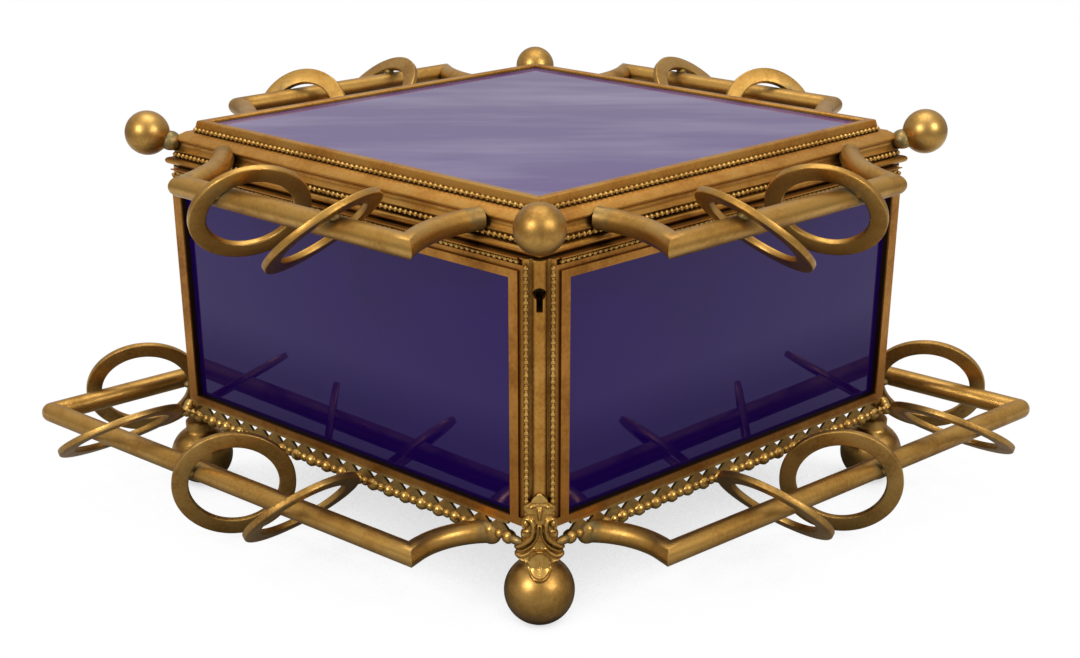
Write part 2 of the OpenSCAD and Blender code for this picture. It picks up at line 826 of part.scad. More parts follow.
// The plain raised frame that holds the top glass down
module lid_frame() {
  outer_d = top_row_d - bead_r - seat;
  inner_d = outer_d - rim_w;
  under_z = lid_seat_z + lid_glass_t + seat;
  color(gilt)
    for (side = SIDES)
      mitred(side, mitre_gap)
        run_profile(end_front(far / 2), end_side(far / 2))
        polygon([
          [glass_edge_d + seat, deck_z], [outer_d, deck_z],
          [outer_d - rim_slope, rim_z - rim_edge], [outer_d - rim_slope - rim_edge, rim_z],
          [inner_d + rim_edge, rim_z], [inner_d, rim_z - rim_edge],
          [inner_d, under_z], [glass_edge_d + seat, under_z]
        ]);
}

module lid_glass() {
  color(pale_glass)
    translate([0, 0, lid_seat_z])
    linear_extrude(lid_glass_t)
    lozenge(glass_edge_d);
}

// The neck is notched to fit over the corner of the moulding
module finial(end) {
  sharp = end == "left" || end == "right";
  corner = (sharp ? corner_x(ridge_d) : corner_y(ridge_d)) + seat;
  run = sharp ? side_run : front_run;
  ball_u = corner + finial_out;
  neck_z = ridge_z - 1.3;
  color(gilt)
    at_corner(end) {
      translate([ball_u, 0, finial_z])
        sphere(finial_r);
      translate([0, 0, neck_z])
        intersection() {
          translate([corner - 4, 0, 0])
            rotate([0, 90, 0])
            cylinder(r = finial_neck_r, h = finial_out + 4);
          translate([0, 0, -finial_neck_r - 1])
            linear_extrude(2 * finial_neck_r + 2)
            polygon([
              [corner, 0], [corner - 4 * run, 4], [corner + finial_out, 4],
              [corner + finial_out, -4], [corner - 4 * run, -4]
            ]);
        }
    }
}

// Hinge at the back corner

hinge_back_u = max(crest_u(false), corner_y(face_d - lid_torus_in + lid_torus_r)) + 0.1;
hinge_u = hinge_back_u + leaf_plate_t / 2 + knuckle_r - 0.3;
hinge_z = lid_z - lid_gap / 2;
knuckle_gap = 0.3;
middle_half = hinge_half_w / 3;

module knuckle(w0, w1, hole_r) {
  translate([hinge_u, w0, hinge_z])
    rotate([-90, 0, 0])
    difference() {
      cylinder(r = knuckle_r, h = w1 - w0);
      if (hole_r > 0) translate([0, 0, -1]) cylinder(r = hole_r, h = w1 - w0 + 2);
    }
}

module hinge_leaf(w0, w1, z0, z1) {
  difference() {
    translate([hinge_back_u, w0, z0])
      cube([leaf_plate_t, w1 - w0, z1 - z0]);
    translate([hinge_u, w0 - 1, hinge_z])
      rotate([-90, 0, 0])
      cylinder(r = knuckle_r - 0.3, h = w1 - w0 + 2);
  }
}

module hinge_body_leaf() {
  color(gilt)
    at_corner("back") {
      hinge_leaf(-hinge_half_w, hinge_half_w, hinge_z - hinge_leaf_h, hinge_z - knuckle_r - knuckle_gap);
      for (side = [-1, 1]) {
        near = middle_half + knuckle_gap / 2;
        w0 = side > 0 ? near : -hinge_half_w;
        w1 = side > 0 ? hinge_half_w : -near;
        hinge_leaf(w0, w1, hinge_z - hinge_leaf_h, hinge_z);
        knuckle(w0, w1, pin_r);
      }
    }
}

module hinge_lid_leaf() {
  half = middle_half - knuckle_gap / 2;
  color(gilt)
    at_corner("back") {
      hinge_leaf(-hinge_half_w, hinge_half_w, hinge_z + knuckle_r + knuckle_gap, hinge_z + lid_leaf_h);
      hinge_leaf(-half, half, hinge_z, hinge_z + lid_leaf_h);
      knuckle(-half, half, pin_r + pin_clearance);
    }
}

module hinge_pin() {
  color(bright_gilt)
    at_corner("back")
    translate([hinge_u, -hinge_half_w, hinge_z])
    rotate([-90, 0, 0])
    cylinder(r = pin_r, h = 2 * hinge_half_w);
}

// Lock behind the keyhole

lock_u = (frame_back_d - seat - lock_half_w * sin(slope)) / cos(slope);
lock_depth = 6;
lock_top = body_top - 3.3;
lock_z = lock_top - lock_h;
cover_t = 1;
boss_r = 1.1;
screw_r = 0.5;
bolt_z = keyhole_z - 0.6;
bolt_h = 3.8;
tongue_u = lock_u - lock_depth + cover_t + 0.2;
tongue_w = 3.2;
bolt_thick = 1.4;
bolt_u = tongue_u + (tongue_w - bolt_thick) / 2;
running = 0.3;
bolt_slack = 0.4;
bolt_throw = 1.4;
keeper_w = 0.6;
keeper_t = 1.6;
keeper_gap = 0.6;

module lock_places() {
  for (w = [-1, 1], z = [lock_z + 2.2, lock_top - 2.2])
    translate([0, w * (lock_half_w - 2.2), z])
      children();
}

module lock_case() {
  inside = lock_depth - cover_t - lock_wall;
  color(brass)
    at_corner("front")
    difference() {
      union() {
        difference() {
          translate([lock_u - lock_depth + cover_t, -lock_half_w, lock_z])
            cube([lock_depth - cover_t, 2 * lock_half_w, lock_h]);
          translate([lock_u - lock_depth, -lock_half_w + lock_wall, lock_z + lock_wall])
            cube([lock_depth - lock_wall, 2 * (lock_half_w - lock_wall), lock_h - 2 * lock_wall]);
        }
        lock_places()
          translate([lock_u - lock_wall - inside, 0, 0])
          rotate([0, 90, 0])
          cylinder(r = boss_r, h = inside + eps);
        for (z = [bolt_z - bolt_h / 2 - running - 1, bolt_z + bolt_h / 2 + running])
          translate([lock_u - lock_wall - inside, -lock_half_w + lock_wall - eps, z])
            cube([inside + eps, lock_half_w - lock_wall, 1]);
      }
      lock_places()
        translate([lock_u - lock_depth, 0, 0])
        rotate([0, 90, 0])
        cylinder(r = screw_r, h = 4);
      translate([lock_u - lock_depth, 0, lock_top - 2 * lock_wall])
        cube([lock_depth - lock_wall, keeper_slot_w, 4 * lock_wall]);
      keyhole_cut(lock_u - 2 * lock_wall);
    }
}

module lock_cover() {
  color(brass)
    at_corner("front")
    difference() {
      translate([lock_u - lock_depth, -lock_half_w, lock_z])
        cube([cover_t, 2 * lock_half_w, lock_h]);
      lock_places()
        translate([lock_u - lock_depth - 1, 0, 0])
        rotate([0, 90, 0])
        cylinder(r = screw_r, h = 4);
    }
}

module lock_screws() {
  color(steel)
    at_corner("front")
    lock_places() {
      translate([lock_u - lock_depth - 0.6, 0, 0])
        rotate([0, 90, 0])
        cylinder(r = 2 * screw_r, h = 0.6);
      translate([lock_u - lock_depth - eps, 0, 0])
        rotate([0, 90, 0])
        cylinder(r = screw_r, h = 3);
    }
}

module lock_bolt() {
  bolt_end = keeper_w + keeper_t + bolt_throw - bolt_travel;
  bolt_start = -lock_half_w + lock_wall + bolt_slack;
  color(steel)
    at_corner("front")
    translate([bolt_u, bolt_start, bolt_z - bolt_h / 2])
    cube([bolt_thick, bolt_end - bolt_start, bolt_h]);
}

// The tongue that hangs from the lid into the lock, with a window for the bolt
module lock_keeper() {
  foot_z = lid_z + keeper_gap;
  foot_t = 1.2;
  wall_d = ridge_d - lid_wall - seat;
  foot_back = tongue_u - 0.5;
  foot_half = (wall_d - foot_back * cos(slope)) / sin(slope);
  low = bolt_z - bolt_h / 2 - 1.8;
  window_z = bolt_z - bolt_h / 2 - running;
  window_h = bolt_h + 2 * running;
  color(brass)
    at_corner("front")
    difference() {
      union() {
        translate([0, 0, foot_z])
          linear_extrude(foot_t)
          polygon([[corner_y(wall_d), 0], [foot_back, foot_half], [foot_back, -foot_half]]);
        translate([tongue_u, keeper_w, low])
          cube([tongue_w, keeper_t, foot_z - low + eps]);
      }
      translate([bolt_u - running, 0, window_z])
        cube([bolt_thick + 2 * running, 4, window_h]);
      for (z = [window_z, window_z + window_h, foot_z - mitre_gap])
        translate([tongue_u - 1, 0, z])
          cube([tongue_w + 2, 4, mitre_gap]);
    }
}

base_plate();
post("front");  // post_front
post("back");  // post_back
post("left");  // post_left
post("right");  // post_right
frame("front_left");  // frame_front_left
frame("front_right");  // frame_front_right
frame("back_left");  // frame_back_left
frame("back_right");  // frame_back_right
pane("front_left");  // glass_front_left
pane("front_right");  // glass_front_right
pane("back_left");  // glass_back_left
pane("back_right");  // glass_back_right
glass_stops();
side_beading();
bead_rail("front_left");  // bead_rail_front_left
bead_rail("front_right");  // bead_rail_front_right
bead_rail("back_left");  // bead_rail_back_left
bead_rail("back_right");  // bead_rail_back_right
foot("front");  // foot_front
foot("back");  // foot_back
foot("left");  // foot_left
foot("right");  // foot_right
foot_leaves();
low_gallery("front_left");  // low_gallery_front_left
low_gallery("front_right");  // low_gallery_front_right
low_gallery("back_left");  // low_gallery_back_left
low_gallery("back_right");  // low_gallery_back_right
low_rings("front_left");  // low_rings_front_left
low_rings("front_right");  // low_rings_front_right
low_rings("back_left");  // low_rings_back_left
low_rings("back_right");  // low_rings_back_right
tip_rings();
lid_moulding("front_left");  // lid_moulding_front_left
lid_moulding("front_right");  // lid_moulding_front_right
lid_moulding("back_left");  // lid_moulding_back_left
lid_moulding("back_right");  // lid_moulding_back_right
lid_beading();
lid_frame();
lid_glass();
finial("front");  // finial_front
finial("back");  // finial_back
finial("left");  // finial_left
finial("right");  // finial_right
top_gallery("front_left");  // top_gallery_front_left
top_gallery("front_right");  // top_gallery_front_right
top_gallery("back_left");  // top_gallery_back_left
top_gallery("back_right");  // top_gallery_back_right
top_rings("front_left");  // top_rings_front_left
top_rings("front_right");  // top_rings_front_right
top_rings("back_left");  // top_rings_back_left
top_rings("back_right");  // top_rings_back_right
hinge_body_leaf();
hinge_lid_leaf();
hinge_pin();
lock_case();
lock_cover();
lock_screws();
lock_bolt();
lock_keeper();
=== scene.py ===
"""Looks of the glass casket box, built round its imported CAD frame.

Shapes are worked out in millimetres in the casket's own frame and become metres when a mesh is made.
Each side of the plan has a local frame of distance along the side, distance outward and height, and
each corner has one of distance outward, distance across and height.
"""

from __future__ import annotations

import json
import logging
import math
from dataclasses import dataclass, field
from enum import Enum
from typing import Callable, Sequence

import bpy
import numpy as np
from mathutils import Matrix

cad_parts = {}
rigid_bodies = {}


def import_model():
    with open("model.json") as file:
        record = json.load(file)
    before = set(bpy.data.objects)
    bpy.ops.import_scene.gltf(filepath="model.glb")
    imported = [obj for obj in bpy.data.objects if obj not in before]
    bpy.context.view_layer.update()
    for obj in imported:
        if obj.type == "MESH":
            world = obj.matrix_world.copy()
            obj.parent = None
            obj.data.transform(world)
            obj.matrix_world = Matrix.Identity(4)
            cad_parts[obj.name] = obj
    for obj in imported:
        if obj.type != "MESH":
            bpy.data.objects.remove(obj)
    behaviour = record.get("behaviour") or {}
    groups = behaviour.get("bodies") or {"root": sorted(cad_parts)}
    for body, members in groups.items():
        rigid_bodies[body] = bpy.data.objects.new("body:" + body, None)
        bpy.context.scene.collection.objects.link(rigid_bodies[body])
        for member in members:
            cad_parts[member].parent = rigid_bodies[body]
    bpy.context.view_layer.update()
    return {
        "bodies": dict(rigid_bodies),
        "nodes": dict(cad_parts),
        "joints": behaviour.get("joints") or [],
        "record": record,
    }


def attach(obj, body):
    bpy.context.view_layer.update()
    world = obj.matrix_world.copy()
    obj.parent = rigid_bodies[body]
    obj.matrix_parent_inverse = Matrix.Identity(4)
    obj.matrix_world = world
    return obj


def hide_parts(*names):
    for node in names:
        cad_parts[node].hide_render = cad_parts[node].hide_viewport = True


LOG = logging.getLogger("casket")
METRES = 0.001
Array = np.ndarray
Colour = tuple[float, float, float]


class Body(Enum):
    """The CAD bodies that pieces ride on."""

    CASKET = "casket"
    LID = "lid"
    BOLT = "bolt"


class Slot(Enum):
    """The record's material slots."""

    GILT = "gilt"
    BRIGHT = "bright_gilt"
    SIDE_GLASS = "side_glass"
    TOP_GLASS = "top_glass"
    LOCK_BRASS = "lock_brass"
    LOCK_STEEL = "lock_steel"


@dataclass(frozen=True)
class Sizes:
    """Driving sizes of the casket in millimetres and degrees, equal to those of the CAD source."""

    slope: float = math.radians(39.0)
    face_d: float = 81.8
    body_z: float = 34.1
    body_top: float = 119.3
    bead_r: float = 0.85
    bead_pitch: float = 2.05
    bead_core: float = 0.4
    seat: float = 0.05
    post_half_w: float = 4.8
    bead_column_w: float = 3.9
    post_bottom: float = 31.5
    shoulder_front: float = 100.97
    shoulder_side: float = 122.35
    big_bead_r: float = 2.3
    spacer_r: float = 1.7
    rail_in: float = 0.5
    big_bead_pitch: float = 7.15
    low_bead_z: float = 28.6
    rail_start: float = 12.35
    rail_end: float = 4.6
    openwork_t: float = 1.0
    foot_r: float = 11.0
    foot_flat: float = 0.4
    foot_inset: float = 7.5
    neck_r: float = 5.0
    stem_r: float = 1.8
    low_rod_r: float = 3.6
    low_rod_z: float = 27.0
    low_tip: float = 175.5
    low_mitre: tuple[float, float] = (39.0, 105.0)
    low_arm_bulge: float = 3.9
    low_arm_run: float = 20.5
    top_rod_r: float = 3.5
    top_rod_z: float = 126.9
    top_rod_d: float = 110.0
    top_front_inset: float = 47.0
    top_side_inset: float = 83.8
    top_arm_bulge: float = 3.2
    ring_w: float = 5.6
    ring_t: float = 2.2
    lid_z: float = 119.7
    ridge_d: float = 78.0
    ridge_z: float = 128.7
    deck_z: float = 131.0
    rim_z: float = 134.7
    slope_w: float = 3.2
    lid_row_d: float = 78.5
    lid_row_h: float = 3.7
    top_row_d: float = 73.9
    finial_r: float = 7.5
    finial_z: float = 130.5
    finial_out: float = 7.9


SIZES = Sizes()


def corner_x(distance: float) -> float:
    """Gives where a side at this distance meets the long diagonal.

    Args:
        distance: Distance of the side from the middle.

    Returns:
        Distance from the middle along the long diagonal.
    """
    return distance / math.sin(SIZES.slope)


def corner_y(distance: float) -> float:
    """Gives where a side at this distance meets the short diagonal.

    Args:
        distance: Distance of the side from the middle.

    Returns:
        Distance from the middle along the short diagonal.
    """
    return distance / math.cos(SIZES.slope)


def end_front(distance: Array | float) -> Array | float:
    """Gives the place along a side of its end at the front or back corner.

    Args:
        distance: Distance of the side from the middle.

    Returns:
        Place along the side.
    """
    return -distance * math.tan(SIZES.slope)


def end_side(distance: Array | float) -> Array | float:
    """Gives the place along a side of its end at the left or right corner.

    Args:
        distance: Distance of the side from the middle.

    Returns:
        Place along the side.
    """
    return distance / math.tan(SIZES.slope)


def to_side(x: float, y: float) -> tuple[float, float]:
    """Turns plan distances of the first quarter into a side's own frame.

    Args:
        x: Distance from the middle along the long diagonal.
        y: Distance from the middle along the short diagonal.

    Returns:
        Place along the side and distance outward.
    """
    c, s = math.cos(SIZES.slope), math.sin(SIZES.slope)
    return x * c - y * s, x * s + y * c


class Side(Enum):
    """The four sides, with the signs of X and Y of their middles."""

    FRONT_LEFT = ("front_left", -1.0, -1.0)
    FRONT_RIGHT = ("front_right", 1.0, -1.0)
    BACK_LEFT = ("back_left", -1.0, 1.0)
    BACK_RIGHT = ("back_right", 1.0, 1.0)

    @property
    def label(self) -> str:
        """The side's part of a node name.

        Returns:
            The name of the side.
        """
        return self.value[0]

    def to_world(self, points: Array) -> Array:
        """Takes points from the side's frame to the casket's frame.

        Args:
            points: Places along, outward and up, in the last axis.

        Returns:
            Points in the casket's frame, of the same shape.
        """
        _, sx, sy = self.value
        c, s = math.cos(SIZES.slope), math.sin(SIZES.slope)
        along, out, up = points[..., 0], points[..., 1], points[..., 2]
        return np.stack([sx * (along * c + out * s), sy * (out * c - along * s), up], -1)


class Corner(Enum):
    """The four corners, with the direction in degrees that each faces."""

    FRONT = ("front", -90.0)
    BACK = ("back", 90.0)
    LEFT = ("left", 180.0)
    RIGHT = ("right", 0.0)

    @property
    def label(self) -> str:
        """The corner's part of a node name.

        Returns:
            The name of the corner.
        """
        return self.value[0]

    @property
    def sharp(self) -> bool:
        """Whether this is one of the two acute corners.

        Returns:
            True at the left and the right.
        """
        return self in (Corner.LEFT, Corner.RIGHT)

    def reach(self, distance: float) -> float:
        """Gives how far out this corner of a lozenge lies.

        Args:
            distance: Distance of the lozenge's sides from the middle.

        Returns:
            Distance of the corner from the middle.
        """
        return corner_x(distance) if self.sharp else corner_y(distance)

    def to_world(self, points: Array) -> Array:
        """Takes points from the corner's frame to the casket's frame.

        Args:
            points: Places outward, across and up, in the last axis.

        Returns:
            Points in the casket's frame, of the same shape.
        """
        a = math.radians(self.value[1])
        u, w, z = points[..., 0], points[..., 1], points[..., 2]
        return np.stack(
            [u * math.cos(a) - w * math.sin(a), u * math.sin(a) + w * math.cos(a), z], -1
        )


# Meshes


@dataclass
class Surface:
    """Closed shells that are gathered into one mesh, with a mark from 0 to 1 at each vertex."""

    points: list[Array] = field(default_factory=list)
    faces: list[Array] = field(default_factory=list)
    marks: list[Array] = field(default_factory=list)
    count: int = 0

    def add(self, points: Array, faces: Sequence[Array], marks: Array | float = 0.0) -> None:
        """Adds one closed shell and turns its faces outward.

        The volume is the sum over triangles of the triple product of their corners, and a negative
        sum means that the faces look inward.

        Args:
            points: Vertices in the casket's frame.
            faces: Arrays of vertex numbers, each with one face a row.
            marks: How much solder or verdigris each vertex shows, and on the openwork how much painted shade.
        """
        flat = points.reshape(-1, 3)
        centre = flat.mean(0)
        volume = 0.0
        for block in faces:
            corner = flat[block] - centre
            for k in range(1, block.shape[1] - 1):
                cross = np.cross(corner[:, k], corner[:, k + 1])
                volume += float((corner[:, 0] * cross).sum())
        turned = [block[:, ::-1] if volume < 0 else block for block in faces]
        self.points.append(flat)
        self.faces.extend(block + self.count for block in turned)
        self.marks.append(np.broadcast_to(marks, (len(flat),)).astype(float))
        self.count += len(flat)

    def add_grid(self, grid: Array, marks: Array | float = 0.0, closed: bool = False) -> None:
        """Adds a tube whose rings are the rows of a grid.

        Args:
            grid: Rings by points by coordinates, each ring a closed loop.
            marks: How much solder each vertex shows, and on the openwork how much painted shade, a number or
                rings by points.
            closed: Whether the last ring joins the first, otherwise both ends get a cap.
        """
        rows, cols = grid.shape[:2]
        index = np.arange(rows * cols).reshape(rows, cols)
        upper = np.roll(index, -1, 0) if closed else index[1:]
        lower = index if closed else index[:-1]
        quads = np.stack([lower, upper, np.roll(upper, -1, 1), np.roll(lower, -1, 1)], -1)
        faces = [quads.reshape(-1, 4)]
        if not closed:
            faces += [index[:1], index[-1:, ::-1]]
        flat = marks.reshape(-1) if isinstance(marks, np.ndarray) else marks
        self.add(grid, faces, flat)

    def build(self, name: str) -> bpy.types.Object:
        """Makes the Blender object, smooth except along sharp edges.

        Args:
            name: Name of the object.

        Returns:
            The object, in metres at the origin.
        """
        mesh = bpy.data.meshes.new(name)
        points = np.concatenate(self.points) * METRES
        sizes = np.concatenate([np.full(len(b), b.shape[1]) for b in self.faces])
        loops = np.concatenate([b.reshape(-1) for b in self.faces])
        mesh.vertices.add(len(points))
        mesh.vertices.foreach_set("co", points.astype(np.float32).reshape(-1))
        mesh.loops.add(len(loops))
        mesh.loops.foreach_set("vertex_index", loops.astype(np.int32))
        mesh.polygons.add(len(sizes))
        starts = np.concatenate([[0], np.cumsum(sizes)[:-1]])
        mesh.polygons.foreach_set("loop_start", starts.astype(np.int32))
        mesh.update(calc_edges=True)
        mesh.polygons.foreach_set("use_smooth", np.ones(len(sizes), dtype=bool))
        mesh.set_sharp_from_angle(angle=math.radians(38.0))
        mark = mesh.attributes.new("mark", "FLOAT", "POINT")
        mark.data.foreach_set("value", np.concatenate(self.marks).astype(np.float32))
        piece = bpy.data.objects.new(name, mesh)
        bpy.context.scene.collection.objects.link(piece)
        return piece


def circle(count: int, phase: float = 0.0) -> Array:
    """Gives points round the unit circle.

    Args:
        count: Number of points.
        phase: Angle of the first point in radians.

    Returns:
        Cosines and sines, one pair a row.
    """
    a = np.arange(count) * 2 * math.pi / count + phase
    return np.stack([np.cos(a), np.sin(a)], -1)


def spun(profile: Array, count: int) -> Array:
    """Turns a profile about the upright axis.

    Args:
        profile: Radius and height, one pair a row.
        count: Number of points round the axis.

    Returns:
        Rings by points by coordinates.
    """
    round_ = circle(count)
    flat = profile[:, None, :1] * round_[None]
    up = np.broadcast_to(profile[:, None, 1:], flat.shape[:2] + (1,))
    return np.concatenate([flat, up], -1)


def ball(radius: float, rings: int, count: int) -> Array:
    """Gives a sphere around the origin as rings from the bottom to the top.

    Args:
        radius: Radius of the sphere.
        rings: Number of rings.
        count: Number of points in each ring.

    Returns:
        Rings by points by coordinates.
    """
    edge = math.pi / (2 * rings)
    a = np.linspace(-math.pi / 2 + edge, math.pi / 2 - edge, rings)
    return spun(np.stack([radius * np.cos(a), radius * np.sin(a)], -1), count)


def rounded(corners: Array, radius: float | Array, steps: int = 3) -> Array:
    """Rounds the corners of a closed outline.

    Each corner becomes a quadratic curve between the two points that lie one radius away from it
    along its edges, and the radius is held under 0.45 of the shorter edge.

    Args:
        corners: Outline points, one pair a row.
        radius: Distance cut from each corner, one value or one for each corner.
        steps: Number of curve pieces at each corner.

    Returns:
        The rounded outline.
    """
    before = np.roll(corners, 1, 0) - corners
    after = np.roll(corners, -1, 0) - corners
    len_before = np.linalg.norm(before, axis=1, keepdims=True)
    len_after = np.linalg.norm(after, axis=1, keepdims=True)
    cut = np.minimum(
        np.broadcast_to(np.asarray(radius, float).reshape(-1, 1), (len(corners), 1)),
        0.45 * np.minimum(len_before, len_after),
    )
    a = (corners + before / len_before * cut)[:, None]
    b = (corners + after / len_after * cut)[:, None]
    t = np.linspace(0, 1, steps + 1)[None, :, None]
    curve = (1 - t) ** 2 * a + 2 * t * (1 - t) * corners[:, None] + t**2 * b
    return curve.reshape(-1, 2)


def arc(p: Array, q: Array, bulge: float, spacing: float) -> Array:
    """Gives points along an arc that bows to the left of its chord.

    Args:
        p: First point in the plan.
        q: Last point in the plan.
        bulge: Height of the bow, negative to the right.
        spacing: Distance between points.

    Returns:
        Points from p to q.
    """
    chord = float(np.linalg.norm(q - p))
    radius = (chord * chord / 4 + bulge * bulge) / (2 * abs(bulge))
    across = np.array([-(q - p)[1], (q - p)[0]]) / chord * math.copysign(1, bulge)
    centre = (p + q) / 2 - across * (radius - abs(bulge))
    first = math.atan2(*(p - centre)[::-1])
    last = math.atan2(*(q - centre)[::-1])
    turn = (last - first + math.pi) % (2 * math.pi) - math.pi
    angles = first + turn * np.linspace(0, 1, max(3, round(abs(turn) * radius / spacing)))
    return centre + radius * np.stack([np.cos(angles), np.sin(angles)], -1)


def straight(p: Array, q: Array, spacing: float, clear_p: float, clear_q: float) -> Array:
    """Gives points along a line, with no point near its two ends.

    Args:
        p: First point.
        q: Last point.
        spacing: Distance between points.
        clear_p: Distance from p to the next point.
        clear_q: Distance from q to the point before it.

    Returns:
        Points from p to q, both included.
    """
    length = float(np.linalg.norm(q - p))
    inner = np.linspace(clear_p, length - clear_q, max(2, round(length / spacing)))
    places = np.concatenate([[0.0], inner, [length]])
    return p + (q - p) * (places / length)[:, None]


def flat_sweep(path: Array, radius: float, height: float, count: int, last: Array | None) -> Array:
    """Sweeps a circle along a path in the plan, mitred where the path turns.

    The ring at a point lies in the plane that halves its turn, and is stretched in the plan by one
    over the cosine of half the turn.

    Args:
        path: Points in the plan.
        radius: Radius of the rod.
        height: Height of the rod's axis.
        count: Number of points round the rod.
        last: Direction in which the rod goes on past its last point, if it is mitred there.

    Returns:
        Rings by points by coordinates.
    """
    steps = np.diff(path, axis=0)
    steps /= np.linalg.norm(steps, axis=1, keepdims=True)
    before = np.concatenate([steps[:1], steps])
    after = np.concatenate([steps, steps[-1:] if last is None else last[None]])
    normals = np.stack([-(before + after)[:, 1], (before + after)[:, 0]], -1)
    normals /= np.linalg.norm(normals, axis=1, keepdims=True)
    left = np.stack([-before[:, 1], before[:, 0]], -1)
    stretch = 1 / np.maximum((normals * left).sum(1), 0.2)
    round_ = circle(count)
    plan = path[:, None] + normals[:, None] * (round_[None, :, :1] * radius * stretch[:, None, None])
    up = np.broadcast_to(height + radius * round_[None, :, 1:], plan.shape[:2] + (1,))
    return np.concatenate([plan, up], -1)


def prism(outline: Array, d0: float, d1: float) -> Array:
    """Stands a flat outline up as a plate in a side's frame.

    Args:
        outline: Places along and up, one pair a row.
        d0: Distance outward of its back.
        d1: Distance outward of its front.

    Returns:
        Two rings of points in the side's frame.
    """
    rings = [np.stack([outline[:, 0], np.full(len(outline), d), outline[:, 1]], -1) for d in (d0, d1)]
    return np.stack(rings)


def side_run(profile: Array, side: Side, cuts: int, start: float = 0.0) -> Array:
    """Runs a moulding's profile along a side, mitred at both corners.

    Args:
        profile: Distance outward and height, one pair a row.
        side: The side.
        cuts: Number of rings along the side.
        start: Distance of the mitres from the corners' planes.

    Returns:
        Rings by points in the casket's frame.
    """
    t = np.linspace(0, 1, cuts)[:, None]
    out = profile[None, :, 0]
    low = end_front(out) + start
    along = low + (end_side(out) - start - low) * t
    grid = np.stack(
        [along, np.broadcast_to(out, along.shape), np.broadcast_to(profile[None, :, 1], along.shape)],
        -1,
    )
    return side.to_world(grid)


# Materials


@dataclass(frozen=True)
class WindowShade:
    """Where the inner wall at the edge of a window is painted black as shade, in metres.

    Depths are distances outward from the middle, start is the lowest place along the side and top
    the greatest height.
    """

    depths: tuple[float, float]
    start: float
    top: float


@dataclass(frozen=True)
class GiltFinish:
    """Worn gilding over bronze: three tones in patches, painted shade in recesses with dirt specks, and grey
    solder marks that also paint shade on the openwork.
    """

    name: str
    dark: Colour
    middle: Colour
    light: Colour
    roughness: tuple[float, float] = (0.3, 0.5)
    # Colour of the painted shade in recesses and of the random dirt specks.
    recess_shade_and_dirt: Colour = (0.085, 0.041, 0.012)
    recess_shade_reach: float = 0.0035
    recess_shade_amount: float = 0.85
    stain_height: float = 0.0
    bump: float = 0.12
    coat: float = 0.1
    # Where the gilt paints a window's inner wall black as shade.
    wall: WindowShade | None = None


@dataclass(frozen=True)
class GlassFinish:
    """Dark glossy glass whose reflections are tinted, with pale streaks painted into its colour as reflection.
    """

    name: str
    body: Colour
    tint: Colour
    ior: float
    roughness: float
    streaks: float = 0.0


@dataclass(frozen=True)
class PlainFinish:
    """A plain metal, for the lock and its screws."""

    name: str
    colour: Colour
    roughness: float


GILT = GiltFinish("gilt", (0.25, 0.12, 0.023), (0.41, 0.225, 0.052), (0.52, 0.315, 0.095), coat=0.06)
# The frame gilt paints its window walls near black as shade.
FRAME = GiltFinish(
    "frame_gilt",
    (0.22, 0.083, 0.011),
    (0.36, 0.153, 0.026),
    (0.49, 0.242, 0.056),
    coat=0.05,
    wall=WindowShade((0.0795, 0.0813), -0.0549, 0.1124),
)
CORNICE = GiltFinish(
    "cornice_gilt",
    (0.27, 0.11, 0.017),
    (0.42, 0.20, 0.037),
    (0.57, 0.325, 0.086),
    coat=0.06,
)
# Painted shade: a darker copy of the gilt for the lower gallery's rings, whose faces lie in more shade; the
# higher roughness is their own.
SHADED_RING = GiltFinish(
    "shaded_ring_gilt",
    (0.17, 0.085, 0.02),
    (0.36, 0.198, 0.05),
    (0.50, 0.31, 0.097),
    roughness=(0.38, 0.55),
    coat=0.03,
)
BRIGHT = GiltFinish(
    "bright_gilt",
    (0.28, 0.135, 0.027),
    (0.46, 0.265, 0.063),
    (0.64, 0.42, 0.13),
    roughness=(0.27, 0.41),
    recess_shade_reach=0.0016,
    recess_shade_amount=0.75,
)
FOOT = GiltFinish(
    "foot_gilt",
    (0.24, 0.12, 0.025),
    (0.39, 0.215, 0.052),
    (0.51, 0.32, 0.10),
    roughness=(0.34, 0.46),
    stain_height=0.008,
    coat=0.05,
)
SIDE_GLASS = GlassFinish("side_glass", (0.005, 0.0005, 0.04), (0.40, 0.26, 0.80), 1.6, 0.02)
# The top glass has pale streaks painted into its colour as reflection.
TOP_GLASS = GlassFinish("top_glass", (0.05, 0.025, 0.13), (1.0, 0.9, 1.0), 1.5, 0.05, 0.35)
LOCK_BRASS = PlainFinish("lock_brass", (0.5, 0.36, 0.14), 0.38)
LOCK_STEEL = PlainFinish("lock_steel", (0.32, 0.32, 0.33), 0.35)


